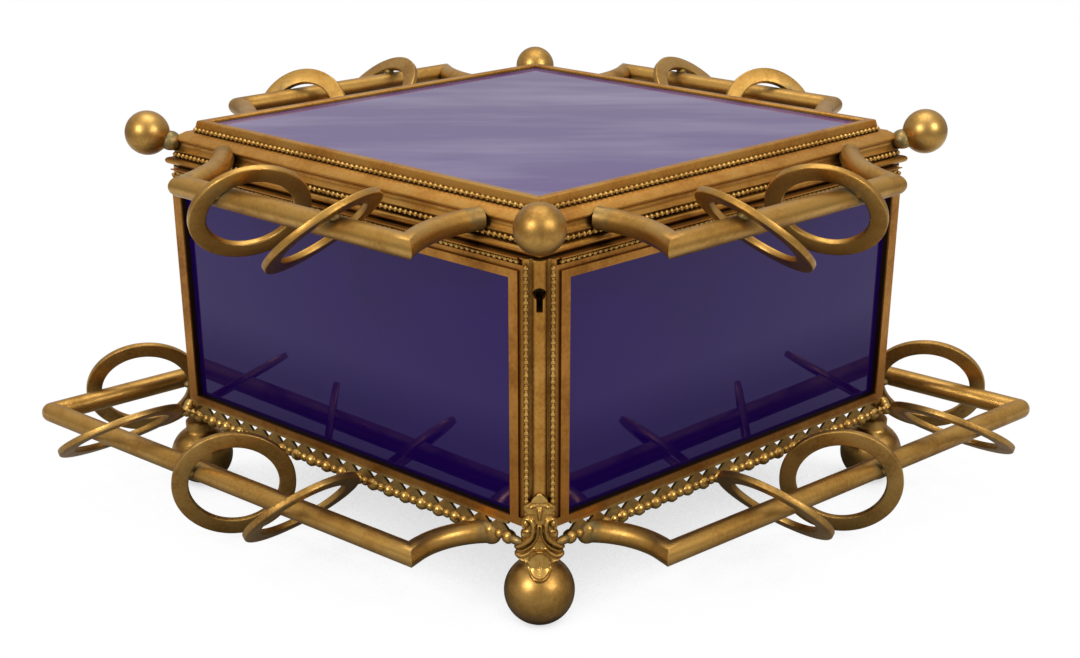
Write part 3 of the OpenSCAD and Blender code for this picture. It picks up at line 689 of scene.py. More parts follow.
class NodeGraph:
    """A small helper that adds and joins shader nodes of one material."""

    def __init__(self, name: str) -> None:
        """Starts an empty material with its output.

        Args:
            name: Name of the material.
        """
        self.material = bpy.data.materials.new(name)
        self.material.use_nodes = True
        self.tree = self.material.node_tree
        self.tree.nodes.clear()
        self.output = self.tree.nodes.new("ShaderNodeOutputMaterial")
        self.coords = self.tree.nodes.new("ShaderNodeTexCoord").outputs["Object"]

    def node(self, kind: str, **settings: object) -> bpy.types.Node:
        """Adds a node and sets its properties.

        Args:
            kind: Type of the node.
            settings: Properties by name.

        Returns:
            The node.
        """
        made = self.tree.nodes.new(kind)
        for key, value in settings.items():
            setattr(made, key, value)
        return made

    def put(self, socket: bpy.types.NodeSocket, value: object) -> None:
        """Joins a socket to an input, or sets its value.

        Args:
            socket: The input.
            value: An output socket, a number or a colour.
        """
        if isinstance(value, bpy.types.NodeSocket):
            self.tree.links.new(value, socket)
        elif isinstance(value, tuple) and len(value) == 3 and socket.type == "RGBA":
            socket.default_value = (*value, 1.0)
        else:
            socket.default_value = value

    def noise(self, scale: float, detail: float = 4.0, stretch: Colour | None = None) -> object:
        """Adds a noise texture in object coordinates.

        Args:
            scale: Waves in a metre.
            detail: Number of finer octaves.
            stretch: Scale of each axis, for painted reflection streaks.

        Returns:
            The output from 0 to 1.
        """
        made = self.node("ShaderNodeTexNoise")
        vector = self.coords
        if stretch is not None:
            mapping = self.node("ShaderNodeMapping")
            self.put(mapping.inputs["Vector"], vector)
            mapping.inputs["Scale"].default_value = stretch
            mapping.inputs["Rotation"].default_value = (0.0, 0.0, 0.35)
            vector = mapping.outputs[0]
        self.put(made.inputs["Vector"], vector)
        made.inputs["Scale"].default_value = scale
        made.inputs["Detail"].default_value = detail
        made.inputs["Roughness"].default_value = 0.6
        return made.outputs[0]

    def ranged(self, value: object, low: float, high: float, to_low: float, to_high: float) -> object:
        """Maps a value from one range to another, held at both ends.

        Args:
            value: The value.
            low: Start of the range.
            high: End of the range.
            to_low: Result at the start.
            to_high: Result at the end.

        Returns:
            The result.
        """
        made = self.node("ShaderNodeMapRange")
        for key, number in zip(
            ("From Min", "From Max", "To Min", "To Max"), (low, high, to_low, to_high)
        ):
            made.inputs[key].default_value = number
        self.put(made.inputs["Value"], value)
        return made.outputs[0]

    def mixed(self, factor: object, first: object, second: object) -> object:
        """Mixes two colours.

        Args:
            factor: Share of the second.
            first: The first colour.
            second: The second colour.

        Returns:
            The mixed colour.
        """
        made = self.node("ShaderNodeMix", data_type="RGBA")
        self.put(made.inputs[0], factor)
        self.put(made.inputs[6], first)
        self.put(made.inputs[7], second)
        return made.outputs[2]

    def maths(self, operation: str, first: object, second: object) -> object:
        """Combines two numbers.

        Args:
            operation: Name of the operation.
            first: The first number.
            second: The second number.

        Returns:
            The result.
        """
        made = self.node("ShaderNodeMath", operation=operation)
        self.put(made.inputs[0], first)
        self.put(made.inputs[1], second)
        return made.outputs[0]

    def plan_measure(self, weights: Colour) -> object:
        """Measures a place in the quarter of the plan where X and Y are positive.

        It is the sum of the sizes of X, Y and Z, each times its weight. The sine and the cosine of
        the slope give the distance outward of a side.

        Args:
            weights: Weights of X, Y and Z.

        Returns:
            The measure in metres.
        """
        plan = self.node("ShaderNodeVectorMath", operation="ABSOLUTE")
        self.put(plan.inputs[0], self.coords)
        made = self.node("ShaderNodeVectorMath", operation="DOT_PRODUCT")
        self.put(made.inputs[0], plan.outputs[0])
        made.inputs[1].default_value = weights
        return made.outputs["Value"]

    def principled(self, **values: object) -> bpy.types.Material:
        """Ends the material with a principled shader.

        Args:
            values: Inputs by name, with underscores for spaces.

        Returns:
            The material.
        """
        shader = self.node("ShaderNodeBsdfPrincipled")
        for key, value in values.items():
            self.put(shader.inputs[key.replace("_", " ")], value)
        self.tree.links.new(shader.outputs[0], self.output.inputs["Surface"])
        return self.material


def gilt_material(finish: GiltFinish) -> bpy.types.Material:
    """Makes a worn gilt metal.

    Args:
        finish: The finish.

    Returns:
        The material.
    """
    graph = NodeGraph(finish.name)
    patches = graph.noise(70.0, 6.0)
    grain = graph.noise(900.0, 3.0)
    tone = graph.maths("ADD", graph.maths("MULTIPLY", patches, 0.75), graph.maths("MULTIPLY", grain, 0.3))
    colour = graph.mixed(graph.ranged(tone, 0.36, 0.52, 0.15, 1.0), finish.dark, finish.middle)
    colour = graph.mixed(graph.ranged(tone, 0.5, 0.74, 0.0, 0.8), colour, finish.light)
    # Painted shade: ambient occlusion finds the recesses and darkens them towards that colour, together with
    # random dirt specks.
    hollow = graph.node("ShaderNodeAmbientOcclusion", samples=6)
    hollow.inputs["Distance"].default_value = finish.recess_shade_reach
    recess_shade_and_specks = graph.ranged(hollow.outputs["AO"], 0.25, 0.85, finish.recess_shade_amount, 0.0)
    speck = graph.ranged(graph.noise(300.0, 5.0), 0.6, 0.75, 0.0, 0.3)
    recess_shade_and_specks = graph.maths("MAXIMUM", recess_shade_and_specks, speck)
    colour = graph.mixed(recess_shade_and_specks, colour, finish.recess_shade_and_dirt)
    # The mark paints grey solder, and on the openwork it paints shade.
    mark = graph.node("ShaderNodeAttribute", attribute_name="mark").outputs["Fac"]
    blotch = graph.ranged(graph.noise(500.0, 4.0), 0.35, 0.6, 0.15, 1.0)
    marked = graph.maths("MULTIPLY", mark, blotch)
    colour = graph.mixed(marked, colour, (0.17, 0.135, 0.062))
    rough = graph.ranged(tone, 0.4, 0.7, finish.roughness[1], finish.roughness[0])
    rough = graph.maths("ADD", rough, graph.maths("MULTIPLY", recess_shade_and_specks, 0.18))
    rough = graph.maths("ADD", rough, graph.maths("MULTIPLY", mark, 0.15))
    if finish.stain_height > 0:
        height = graph.node("ShaderNodeSeparateXYZ")
        graph.put(height.inputs[0], graph.coords)
        wave = graph.maths("MULTIPLY", graph.noise(160.0, 4.0), 0.012)
        level = graph.maths("ADD", height.outputs["Z"], wave)
        stain = graph.ranged(level, finish.stain_height, finish.stain_height + 0.006, 0.8, 0.0)
        colour = graph.mixed(stain, colour, (0.11, 0.055, 0.03))
    # Painted shade: the inner wall at the edge of each window, by the glass, is painted near black.
    if finish.wall is not None:
        wall = finish.wall
        slope = (math.sin(SIZES.slope), math.cos(SIZES.slope), 0.0)
        reach = graph.plan_measure(slope)
        along = graph.plan_measure((slope[1], -slope[0], 0.0))
        height = graph.plan_measure((0.0, 0.0, 1.0))
        edge = 0.0002
        painted_black = graph.ranged(reach, wall.depths[1] - edge, wall.depths[1] + edge, 0.93, 0.0)
        for measure, sign, limit in (
            (reach, 1, wall.depths[0]), (along, 1, wall.start), (height, -1, wall.top)
        ):
            inside = graph.ranged(measure, limit - sign * edge, limit, 0.0, 1.0)
            if sign < 0:
                inside = graph.ranged(measure, limit, limit + edge, 1.0, 0.0)
            painted_black = graph.maths("MULTIPLY", painted_black, inside)
        colour = graph.mixed(painted_black, colour, (0.012, 0.007, 0.006))
    fine = graph.node("ShaderNodeBump")
    fine.inputs["Strength"].default_value = finish.bump
    fine.inputs["Distance"].default_value = 0.0002
    graph.put(fine.inputs["Height"], graph.noise(650.0, 6.0))
    return graph.principled(
        Base_Color=colour,
        Metallic=1.0,
        Roughness=rough,
        Coat_Weight=finish.coat,
        Coat_Roughness=0.35,
        Normal=fine.outputs[0],
    )


def glass_material(finish: GlassFinish) -> bpy.types.Material:
    """Makes dark glass.

    Args:
        finish: The finish.

    Returns:
        The material.
    """
    graph = NodeGraph(finish.name)
    body: object = finish.body
    # Painted reflection: pale streaks in the body colour stand for reflections of the room.
    if finish.streaks > 0:
        reflection_streak_noise = graph.noise(9.0, 4.0, (1.0, 5.0, 1.0))
        pale = tuple(min(1.0, c + finish.streaks * 0.2) for c in finish.body)
        body = graph.mixed(graph.ranged(reflection_streak_noise, 0.42, 0.68, 0.0, 1.0), finish.body, pale)
    ripple = graph.node("ShaderNodeBump")
    ripple.inputs["Strength"].default_value = 0.04
    ripple.inputs["Distance"].default_value = 0.0006
    graph.put(ripple.inputs["Height"], graph.noise(45.0, 2.0))
    return graph.principled(
        Base_Color=body,
        Roughness=finish.roughness,
        IOR=finish.ior,
        Specular_Tint=finish.tint,
        Normal=ripple.outputs[0],
    )


def plain_material(finish: PlainFinish) -> bpy.types.Material:
    """Makes a plain metal.

    Args:
        finish: The finish.

    Returns:
        The material.
    """
    graph = NodeGraph(finish.name)
    return graph.principled(Base_Color=finish.colour, Metallic=1.0, Roughness=finish.roughness)


@dataclass
class Palette:
    """The materials of the casket, made once."""

    gilt: bpy.types.Material = field(init=False)
    bright: bpy.types.Material = field(init=False)
    foot: bpy.types.Material = field(init=False)
    frame: bpy.types.Material = field(init=False)
    cornice: bpy.types.Material = field(init=False)
    ring: bpy.types.Material = field(init=False)
    side_glass: bpy.types.Material = field(init=False)
    top_glass: bpy.types.Material = field(init=False)
    lock_brass: bpy.types.Material = field(init=False)
    lock_steel: bpy.types.Material = field(init=False)

    def __post_init__(self) -> None:
        """Makes all the materials."""
        self.gilt = gilt_material(GILT)
        self.bright = gilt_material(BRIGHT)
        self.foot = gilt_material(FOOT)
        self.frame = gilt_material(FRAME)
        self.cornice = gilt_material(CORNICE)
        self.ring = gilt_material(SHADED_RING)
        self.side_glass = glass_material(SIDE_GLASS)
        self.top_glass = glass_material(TOP_GLASS)
        self.lock_brass = plain_material(LOCK_BRASS)
        self.lock_steel = plain_material(LOCK_STEEL)


def place(
    surface: Surface,
    name: str,
    nodes: Sequence[str],
    body: Body,
    slot: Slot,
    material: bpy.types.Material,
) -> bpy.types.Object:
    """Makes a piece that stands for CAD nodes.

    Args:
        surface: Its shells.
        name: Name of the piece.
        nodes: The CAD nodes that it stands for.
        body: The body that it rides on.
        slot: Its material slot in the record; not used.
        material: Its material.

    Returns:
        The piece.
    """
    piece = surface.build(name)
    piece.data.materials.append(material)
    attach(piece, body.value)
    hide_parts(*nodes)
    return piece


# Galleries and rings


@dataclass(frozen=True)
class RingPlace:
    """Where a flat ring lies in the casket's frame."""

    centre: Array
    normal: Array
    hole_r: float

    @staticmethod
    def on(side: Side, centre: tuple[float, float, float], az: float, el: float, hole_r: float) -> RingPlace:
        """Places a ring in a side's frame.

        Args:
            side: The side.
            centre: Its centre along, outward and up.
            az: Azimuth of its axis in degrees, from outward towards the side's end.
            el: Elevation of its axis in degrees.
            hole_r: Radius of its hole.

        Returns:
            The place.
        """
        a, e = math.radians(az), math.radians(el)
        local = np.array([math.cos(e) * math.sin(a), math.cos(e) * math.cos(a), math.sin(e)])
        return RingPlace(side.to_world(np.array(centre)), side.to_world(local), hole_r)

    def basis(self) -> tuple[Array, Array]:
        """Gives two directions in the ring's plane.

        Returns:
            Two unit vectors square to the ring's axis and to each other.
        """
        first = np.cross(self.normal, [0.0, 0.0, 1.0])
        first /= np.linalg.norm(first)
        return first, np.cross(self.normal, first)

    def distance(self, points: Array) -> Array:
        """Measures how far points lie from the ring's band.

        Args:
            points: Points, coordinates in the last axis.

        Returns:
            Distances, 0 inside the band.
        """
        offset = points - self.centre
        height = offset @ self.normal
        radial = np.linalg.norm(offset - height[..., None] * self.normal, axis=-1)
        middle = self.hole_r + SIZES.ring_w / 2
        across = np.maximum(np.abs(radial - middle) - SIZES.ring_w / 2, 0)
        return np.hypot(across, np.maximum(np.abs(height) - SIZES.ring_t / 2, 0))

    def grid(self, count: int = 112) -> Array:
        """Gives the ring's surface with softened edges.

        Args:
            count: Number of sections round the ring.

        Returns:
            Sections by points by coordinates.
        """
        half = SIZES.ring_t / 2
        inner, outer = self.hole_r, self.hole_r + SIZES.ring_w
        flat = np.array([[inner, -half], [outer, -half], [outer, half], [inner, half]])
        profile = rounded(flat, 0.5, 3)
        first, second = self.basis()
        round_ = circle(count)
        radial = round_[:, :1] * first + round_[:, 1:] * second
        return (
            self.centre
            + radial[:, None] * profile[None, :, :1]
            + self.normal * profile[None, :, 1:]
        )


@dataclass(frozen=True)
class Rod:
    """A straight stretch of a gallery's rod."""

    start: Array
    end: Array
    radius: float

    def distance(self, points: Array) -> Array:
        """Measures how far points lie outside the rod.

        Args:
            points: Points, coordinates in the last axis.

        Returns:
            Distances from the rod's surface.
        """
        run = self.end - self.start
        t = np.clip(((points - self.start) @ run) / (run @ run), 0, 1)
        return np.linalg.norm(points - (self.start + t[..., None] * run), axis=-1) - self.radius


def nearness(gap: Array, reach: float = 2.6) -> Array:
    """Turns a distance into a mark that fades out.

    Args:
        gap: Distances.
        reach: Distance at which the mark is gone.

    Returns:
        Values from 0 to 1.
    """
    return np.clip(1 - (gap - 0.3) / reach, 0, 1)


@dataclass
class LowerGallery:
    """The rods, arms and rings around the foot of the casket."""

    palette: Palette
    s: Sizes = SIZES
    rings: dict[Side, list[RingPlace]] = field(default_factory=dict)
    tips: list[RingPlace] = field(default_factory=list)

    def place_rings(self) -> None:
        """Works out where the rings lie, as the CAD does."""
        s = self.s
        mitre, tip = to_side(*s.low_mitre), to_side(s.low_tip, 0.0)
        lean = (tip[1] - mitre[1]) / (tip[0] - mitre[0])
        room = 15.0 - s.low_rod_r - 0.3
        rail_out = s.face_d - s.rail_in + s.big_bead_r
        for side in Side:
            hung = (49.0, mitre[1] + lean * (49.0 - mitre[0]) - 0.618 * room, s.low_rod_z - 0.42 * room)
            held = (13.3, rail_out + 0.3 + 0.981 * (15.0 + s.ring_w), s.low_bead_z - 2.6)
            self.rings[side] = [
                RingPlace.on(side, hung, -49, -10, 15.0),
                RingPlace.on(side, held, -83, -45, 15.0),
            ]
        for side in (Side.FRONT_LEFT, Side.FRONT_RIGHT):
            centre = (
                end_side(s.face_d) + 1.7,
                rail_out + 0.981 * (16.9 + s.ring_w),
                s.low_bead_z - 1.0,
            )
            self.tips.append(RingPlace.on(side, centre, -80, -55, 16.9))
        for side in (Side.BACK_LEFT, Side.BACK_RIGHT):
            centre = (tip[0] - 36.6, tip[1] - 0.1, s.low_rod_z)
            self.tips.append(RingPlace.on(side, centre, -24, 20, 15.7))

    def rods(self, side: Side) -> tuple[Array, Rod]:
        """Gives the path of a side's rod and arm.

        Args:
            side: The side.

        Returns:
            The path in the side's frame from the arm's end to the tip, and the straight rod.
        """
        s = self.s
        mitre, tip = np.array(to_side(*s.low_mitre)), np.array(to_side(s.low_tip, 0.0))
        foot = np.array([end_front(s.face_d) + s.low_arm_run, s.face_d - 2.0])
        bow = arc(mitre, foot, s.low_arm_bulge, 1.3)[::-1]
        path = np.concatenate([bow[:-3], straight(mitre, tip, 1.6, 3.6, 7.0)])
        ends = side.to_world(np.array([[*mitre, s.low_rod_z], [*tip, s.low_rod_z]]))
        return path, Rod(ends[0], ends[1], s.low_rod_r)

    def rounded_tip(self, grid: Array) -> Array:
        """Rounds a rod's end at the left or right tip.

        Rings are put between the last two, and points beyond the tip's middle are drawn in to a
        sphere of the rod's radius around it.

        Args:
            grid: Rings by points in the casket's frame.

        Returns:
            The grid with a rounded end.
        """
        s = self.s
        share = np.array([0.35, 0.6, 0.75, 0.87, 0.95])[:, None, None]
        between = grid[-2] + (grid[-1] - grid[-2]) * share
        grid = np.concatenate([grid[:-1], between, grid[-1:]])
        tip = np.array([math.copysign(s.low_tip, grid[-1, 0, 0]), 0.0, s.low_rod_z])
        offset = grid - tip
        size = np.linalg.norm(offset, axis=-1, keepdims=True)
        drawn = tip + offset * np.minimum(1.0, s.low_rod_r / np.maximum(size, 1e-9))
        beyond = np.abs(grid[..., :1]) > s.low_tip
        return np.where(beyond, drawn, grid)

    def build(self) -> None:
        """Builds the rods with their arms and all the rings."""
        s = self.s
        self.place_rings()
        rods = {side: self.rods(side) for side in Side}
        every_ring = [ring for group in self.rings.values() for ring in group] + self.tips
        for side in Side:
            path, _ = rods[side]
            heading = path[-1] - path[-2]
            world = np.array([heading[0] * math.cos(s.slope) + heading[1] * math.sin(s.slope),
                              heading[1] * math.cos(s.slope) - heading[0] * math.sin(s.slope)])
            mirrored = np.array(to_side(-world[0], world[1]))
            grid = flat_sweep(path, s.low_rod_r, s.low_rod_z, 24, mirrored / np.linalg.norm(mirrored))
            grid = self.rounded_tip(side.to_world(grid))
            surface = Surface()
            gap = np.min([ring.distance(grid) for ring in every_ring], axis=0)
            marks = nearness(gap)
            marks[:4] = np.maximum(marks[:4], 0.8)
            surface.add_grid(grid, marks)
            joint = np.array([end_front(s.face_d) + s.low_arm_run, s.face_d - 0.6, s.low_rod_z + 0.4])
            lump = ball(1.0, 14, 24) * np.array([4.6, 2.4, 3.9]) + joint
            surface.add_grid(side.to_world(lump), 0.9)
            joint = np.array([end_front(s.face_d) + 9.3, s.face_d + 0.2, s.low_bead_z + 0.2])
            lump = ball(1.0, 12, 20) * np.array([2.9, 1.4, 1.5]) + joint
            surface.add_grid(side.to_world(lump), 0.8)
            place(surface, f"low_rods_{side.label}", [f"low_gallery_{side.label}"], Body.CASKET,
                  Slot.GILT, self.palette.gilt)
        straights = [rod for _, rod in rods.values()]
        # The lower gallery's rings take the darker gilt as painted shade.
        for side, group in self.rings.items():
            surface = ring_surface(group, straights)
            place(surface, f"low_ring_pair_{side.label}", [f"low_rings_{side.label}"], Body.CASKET,
                  Slot.GILT, self.palette.ring)
        place(ring_surface(self.tips, straights), "tip_ring_set", ["tip_rings"], Body.CASKET,
              Slot.GILT, self.palette.ring)


def ring_surface(rings: Sequence[RingPlace], rods: Sequence[Rod]) -> Surface:
    """Gathers rings, with solder marks and a lump of solder where each meets a rod.

    Args:
        rings: Places of the rings.
        rods: The rods near them.

    Returns:
        The shells.
    """
    surface = Surface()
    for ring in rings:
        grid = ring.grid()
        gap = np.min([rod.distance(grid) for rod in rods], axis=0)
        surface.add_grid(grid, nearness(gap, 2.2), closed=True)
        if gap.min() < 1.0:
            spot = grid.reshape(-1, 3)[gap.argmin()]
            surface.add_grid(ball(1.0, 10, 16) * np.array([1.9, 1.9, 1.4]) + spot, 0.9)
    return surface


@dataclass
class UpperGallery:
    """The rods, arms and rings around the lid."""

    palette: Palette
    s: Sizes = SIZES

    def rings(self, side: Side) -> list[RingPlace]:
        """Works out where a side's rings lie, as the CAD does.

        Args:
            side: The side.

        Returns:
            Two places.
        """
        s = self.s
        hung_room = 13.6 - s.top_rod_r - 0.3
        held_room = 15.0 - s.top_rod_r - 0.3
        hung = (30.8, s.top_rod_d - 0.81 * hung_room, s.top_rod_z - 0.62 * hung_room)
        held = (-4.3, s.top_rod_d - 0.424 * held_room, s.top_rod_z - 0.393 * held_room)
        return [
            RingPlace.on(side, hung, -62, -30, 13.6),
            RingPlace.on(side, held, -97, -48, 15.0),
        ]

    def build(self) -> None:
        """Builds the rods with their arms and all the rings."""
        s = self.s
        front = np.array([end_front(s.top_rod_d) + s.top_front_inset, s.top_rod_d])
        back = np.array([end_side(s.top_rod_d) - s.top_side_inset, s.top_rod_d])
        front_foot = np.array([front[0] + 1.0, s.ridge_d - 0.3])
        side_foot = np.array([back[0] + 18.0, s.ridge_d - 0.3])
        first = arc(front, front_foot, s.top_arm_bulge, 1.3)[::-1]
        second = arc(back, side_foot, -s.top_arm_bulge, 1.3)
        path = np.concatenate([first[:-3], straight(front, back, 1.6, 3.4, 3.4), second[3:]])
        for side in Side:
            grid = side.to_world(flat_sweep(path, s.top_rod_r, s.top_rod_z, 24, None))
            ends = side.to_world(np.array([[*front, s.top_rod_z], [*back, s.top_rod_z]]))
            rod = Rod(ends[0], ends[1], s.top_rod_r)
            rings = self.rings(side)
            gap = np.min([ring.distance(grid) for ring in rings], axis=0)
            marks = nearness(gap)
            marks[:5] = np.maximum(marks[:5], 0.7)
            marks[-5:] = np.maximum(marks[-5:], 0.7)
            surface = Surface()
            surface.add_grid(grid, marks)
            place(surface, f"top_rods_{side.label}", [f"top_gallery_{side.label}"], Body.LID,
                  Slot.GILT, self.palette.gilt)
            place(ring_surface(rings, [rod]), f"top_ring_pair_{side.label}",
                  [f"top_rings_{side.label}"], Body.LID, Slot.GILT, self.palette.gilt)


# Beading


def bead_places(start: float, end: float, radius: float, pitch: float) -> Array:
    """Spaces beads evenly between two ends, as the CAD does.

    Args:
        start: First end of the row.
        end: Last end of the row.
        radius: Radius of a bead.
        pitch: Distance between beads.

    Returns:
        Places of the beads' centres.
    """
    count = math.floor((end - start - 2 * radius) / pitch)
    return start + (end - start - count * pitch) / 2 + np.arange(count + 1) * pitch


@dataclass
class Beading:
    """The rows of small beads on the frames, posts and lid."""

    palette: Palette
    rng: np.random.Generator
    s: Sizes = SIZES

    def row(self, surface: Surface, to_world: Callable[[Array], Array], centres: Array) -> None:
        """Adds one row of beads and the wire that joins them.

        Args:
            surface: Where the shells go.
            to_world: Turns the row's frame into the casket's.
            centres: The beads' centres in the row's frame.
        """
        s = self.s
        shape = ball(s.bead_r, 4, 8)
        size = 1 + self.rng.normal(0, 0.025, (len(centres), 1, 1, 1)).clip(-0.05, 0.0)
        nudge = self.rng.normal(0, 0.03, centres.shape).clip(-0.05, 0.05)
        beads = to_world(shape[None] * size + (centres + nudge)[:, None, None])
        for bead in beads:
            surface.add_grid(bead)
        wire = centres[[0, -1]]
        axis = np.argmax(np.abs(wire[1] - wire[0]))
        round_ = circle(6) * s.bead_core
        others = [k for k in range(3) if k != axis]
        grid = np.repeat(wire[:, None], 6, 1)
        grid[..., others[0]] += round_[:, 0]
        grid[..., others[1]] += round_[:, 1]
        surface.add_grid(to_world(grid))

    def build(self) -> None:
        """Builds the rows on the body and the rows on the lid."""
        s = self.s
        body, lid = Surface(), Surface()
        row_z = s.body_top - s.bead_r - 0.45
        row_d, clear = s.face_d - 0.8, s.post_half_w + s.bead_r + s.seat
        for side in Side:
            start = (clear - row_d * math.sin(s.slope)) / math.cos(s.slope) - s.bead_r
            end = (row_d * math.cos(s.slope) - clear) / math.sin(s.slope) + s.bead_r
            along = bead_places(start, end, s.bead_r, s.bead_pitch)
            self.row(body, side.to_world, level_row(along, row_d, row_z))
            for out, height in (
                (s.lid_row_d, s.lid_z + s.lid_row_h),
                (s.top_row_d, s.deck_z + s.bead_r + s.seat),
            ):
                along = bead_places(
                    end_front(out) + s.bead_r * 1.4, end_side(out) - s.bead_r * 1.7, s.bead_r, s.bead_pitch
                )
                self.row(lid, side.to_world, level_row(along, out, height))
        for corner in Corner:
            shoulder = s.shoulder_side if corner.sharp else s.shoulder_front
            for across in (-s.bead_column_w, s.bead_column_w):
                up = bead_places(s.post_bottom + 2, s.body_top - 1.1, s.bead_r, s.bead_pitch)
                column = np.stack(
                    [np.full(len(up), shoulder + s.bead_r + s.seat), np.full(len(up), across), up], -1
                )
                self.row(body, corner.to_world, column)
        place(body, "small_beads_body", ["side_beading"], Body.CASKET, Slot.BRIGHT, self.palette.bright)
        place(lid, "small_beads_lid", ["lid_beading"], Body.LID, Slot.BRIGHT, self.palette.bright)


def level_row(along: Array, out: float, height: float) -> Array:
    """Gives points of a level row in a side's frame.

    Args:
        along: Places along the side.
        out: Distance outward.
        height: Height.

    Returns:
        Points, one a row.
    """
    return np.stack([along, np.full(len(along), out), np.full(len(along), height)], -1)


@dataclass
class BeadRail:
    """The row of large beads under a side, below its openwork strip."""

    side: Side
    palette: Palette
    s: Sizes = SIZES

    def build(self) -> bpy.types.Object:
        """Builds the beads, the spacers between them and the openwork.

        The radius along the row is the largest of the beads' half circles, the spacers' half
        circles and the thin core.

        Returns:
            The piece.
        """
        s = self.s
        x0 = end_front(s.face_d) + s.rail_start
        count = math.floor((end_side(s.face_d) - s.rail_end - x0) / s.big_bead_pitch)
        beads = x0 + np.arange(count + 1) * s.big_bead_pitch
        spacers = beads[:-1] + s.big_bead_pitch / 2
        a = np.linspace(0.06, math.pi - 0.06, 11)
        near = np.linspace(s.big_bead_r, s.big_bead_pitch / 2 - s.spacer_r, 3)[1:-1]
        local = np.concatenate([-s.big_bead_r * np.cos(a), near])
        along = (beads[:, None] + local).reshape(-1)
        extra = (spacers[:, None] - s.spacer_r * np.cos(a[::2])).reshape(-1)
        extra2 = (spacers[:, None] + s.spacer_r + near - s.big_bead_r).reshape(-1)
        along = np.unique(np.concatenate([along, extra, extra2]))
        along = along[(along > beads[0] - s.big_bead_r) & (along < beads[-1] + s.big_bead_r)]
        radius = np.full(len(along), s.spacer_r / 2)
        for centres, r in ((beads, s.big_bead_r), (spacers, s.spacer_r)):
            gap = np.abs(along[:, None] - centres[None]).min(1)
            radius = np.maximum(radius, np.sqrt(np.maximum(r * r - gap * gap, 0)))
        round_ = circle(12)
        grid = np.stack(
            [
                np.repeat(along[:, None], 12, 1),
                s.face_d - s.rail_in + radius[:, None] * round_[None, :, 0],
                s.low_bead_z + radius[:, None] * round_[None, :, 1],
            ],
            -1,
        )
        surface = Surface()
        surface.add_grid(self.side.to_world(grid))
        low, top = s.low_bead_z, s.body_z
        tip, wide, half = low + s.big_bead_r, low + s.big_bead_r + 2.2, s.big_bead_pitch * 0.32
        strip_end = (s.face_d - s.openwork_t) * math.cos(s.slope) - s.post_half_w - 0.3
        strip_end /= math.sin(s.slope)
        for left, right in zip(beads[:-1], beads[1:]):
            if right > strip_end + s.big_bead_pitch / 2:
                continue
            cell = np.array(
                [[left, low], [right, low], [right, tip], [right - half, wide], [left + half, wide], [left, tip]]
            )
            stop = min(right, strip_end)
            bar = np.array([[left, wide], [stop, wide], [stop, top], [left, top]])
            # The openwork carries the solder mark as painted shade, heavier in the cells between the beads than
            # on the bar above.
            for outline, painted_shade in ((cell, 0.6), (bar, 0.25)):
                plate = prism(outline, s.face_d - s.openwork_t, s.face_d)
                surface.add_grid(self.side.to_world(plate), painted_shade)
        label = self.side.label
        return place(surface, f"big_beads_{label}", [f"bead_rail_{label}"], Body.CASKET,
                     Slot.BRIGHT, self.palette.bright)


# Feet and leaves


@dataclass
class Foot:
    """A ball foot with its neck."""

    corner: Corner
    palette: Palette
    s: Sizes = SIZES

    def build(self) -> bpy.types.Object:
        """Turns the foot's profile about its own axis.

        Returns:
            The piece.
        """
        s = self.s
        stem_z = s.low_bead_z - s.big_bead_r - 2.0
        low = math.asin(-(s.foot_r - s.foot_flat) / s.foot_r)
        high = math.acos(s.neck_r / s.foot_r)
        a = np.linspace(low, high - 0.06, 34)
        sphere = np.stack([s.foot_r * np.cos(a), s.foot_r - s.foot_flat + s.foot_r * np.sin(a)], -1)
        top = sphere[-1, 1]
        neck = np.array(
            [
                [s.neck_r + 0.25, top + 0.5],
                [s.neck_r, top + 1.4],
                [s.neck_r, stem_z - 0.5],
                [s.neck_r - 0.5, stem_z],
                [s.stem_r + 0.1, stem_z + 0.05],
                [s.stem_r, stem_z + 0.4],
                [s.stem_r, s.post_bottom],
            ]
        )
        grid = spun(np.concatenate([sphere, neck]), 64)
        grid[..., 0] += self.corner.reach(s.face_d) - s.foot_inset
        surface = Surface()
        surface.add_grid(self.corner.to_world(grid))
        label = self.corner.label
        return place(surface, f"ball_foot_{label}", [f"foot_{label}"], Body.CASKET, Slot.GILT,
                     self.palette.foot)


@dataclass(frozen=True)
class Rib:
    """A raised rib of the leaf along a smooth line through given places, in millimetres."""

    points: tuple[tuple[float, float], ...]
    start_r: float
    end_r: float
    lift: float


@dataclass(frozen=True)
class Boss:
    """An oval swelling of the leaf at a place across and up."""

    place: tuple[float, float]
    half: tuple[float, float]
    lift: float


def smooth_line(points: Sequence[tuple[float, float]], steps: int = 9) -> Array:
    """Runs a smooth curve through points.

    The curve is the Catmull-Rom spline, whose slope at each point is half of the step between its
    two neighbours.

    Args:
        points: The points.
        steps: Number of pieces between neighbours.

    Returns:
        Points of the curve.
    """
    given = np.array(points)
    t = np.linspace(0, len(given) - 1, steps * (len(given) - 1) + 1)
    k = np.clip(t.astype(int), 0, len(given) - 2)
    f = (t - k)[:, None]
    pad = np.concatenate([[2 * given[0] - given[1]], given, [2 * given[-1] - given[-2]]])
    p0, p1, p2, p3 = (pad[k + i] for i in range(4))
    return 0.5 * (
        2 * p1
        + (p2 - p0) * f
        + (2 * p0 - 5 * p1 + 4 * p2 - p3) * f**2
        + (3 * p1 - p0 - 3 * p2 + p3) * f**3
    )


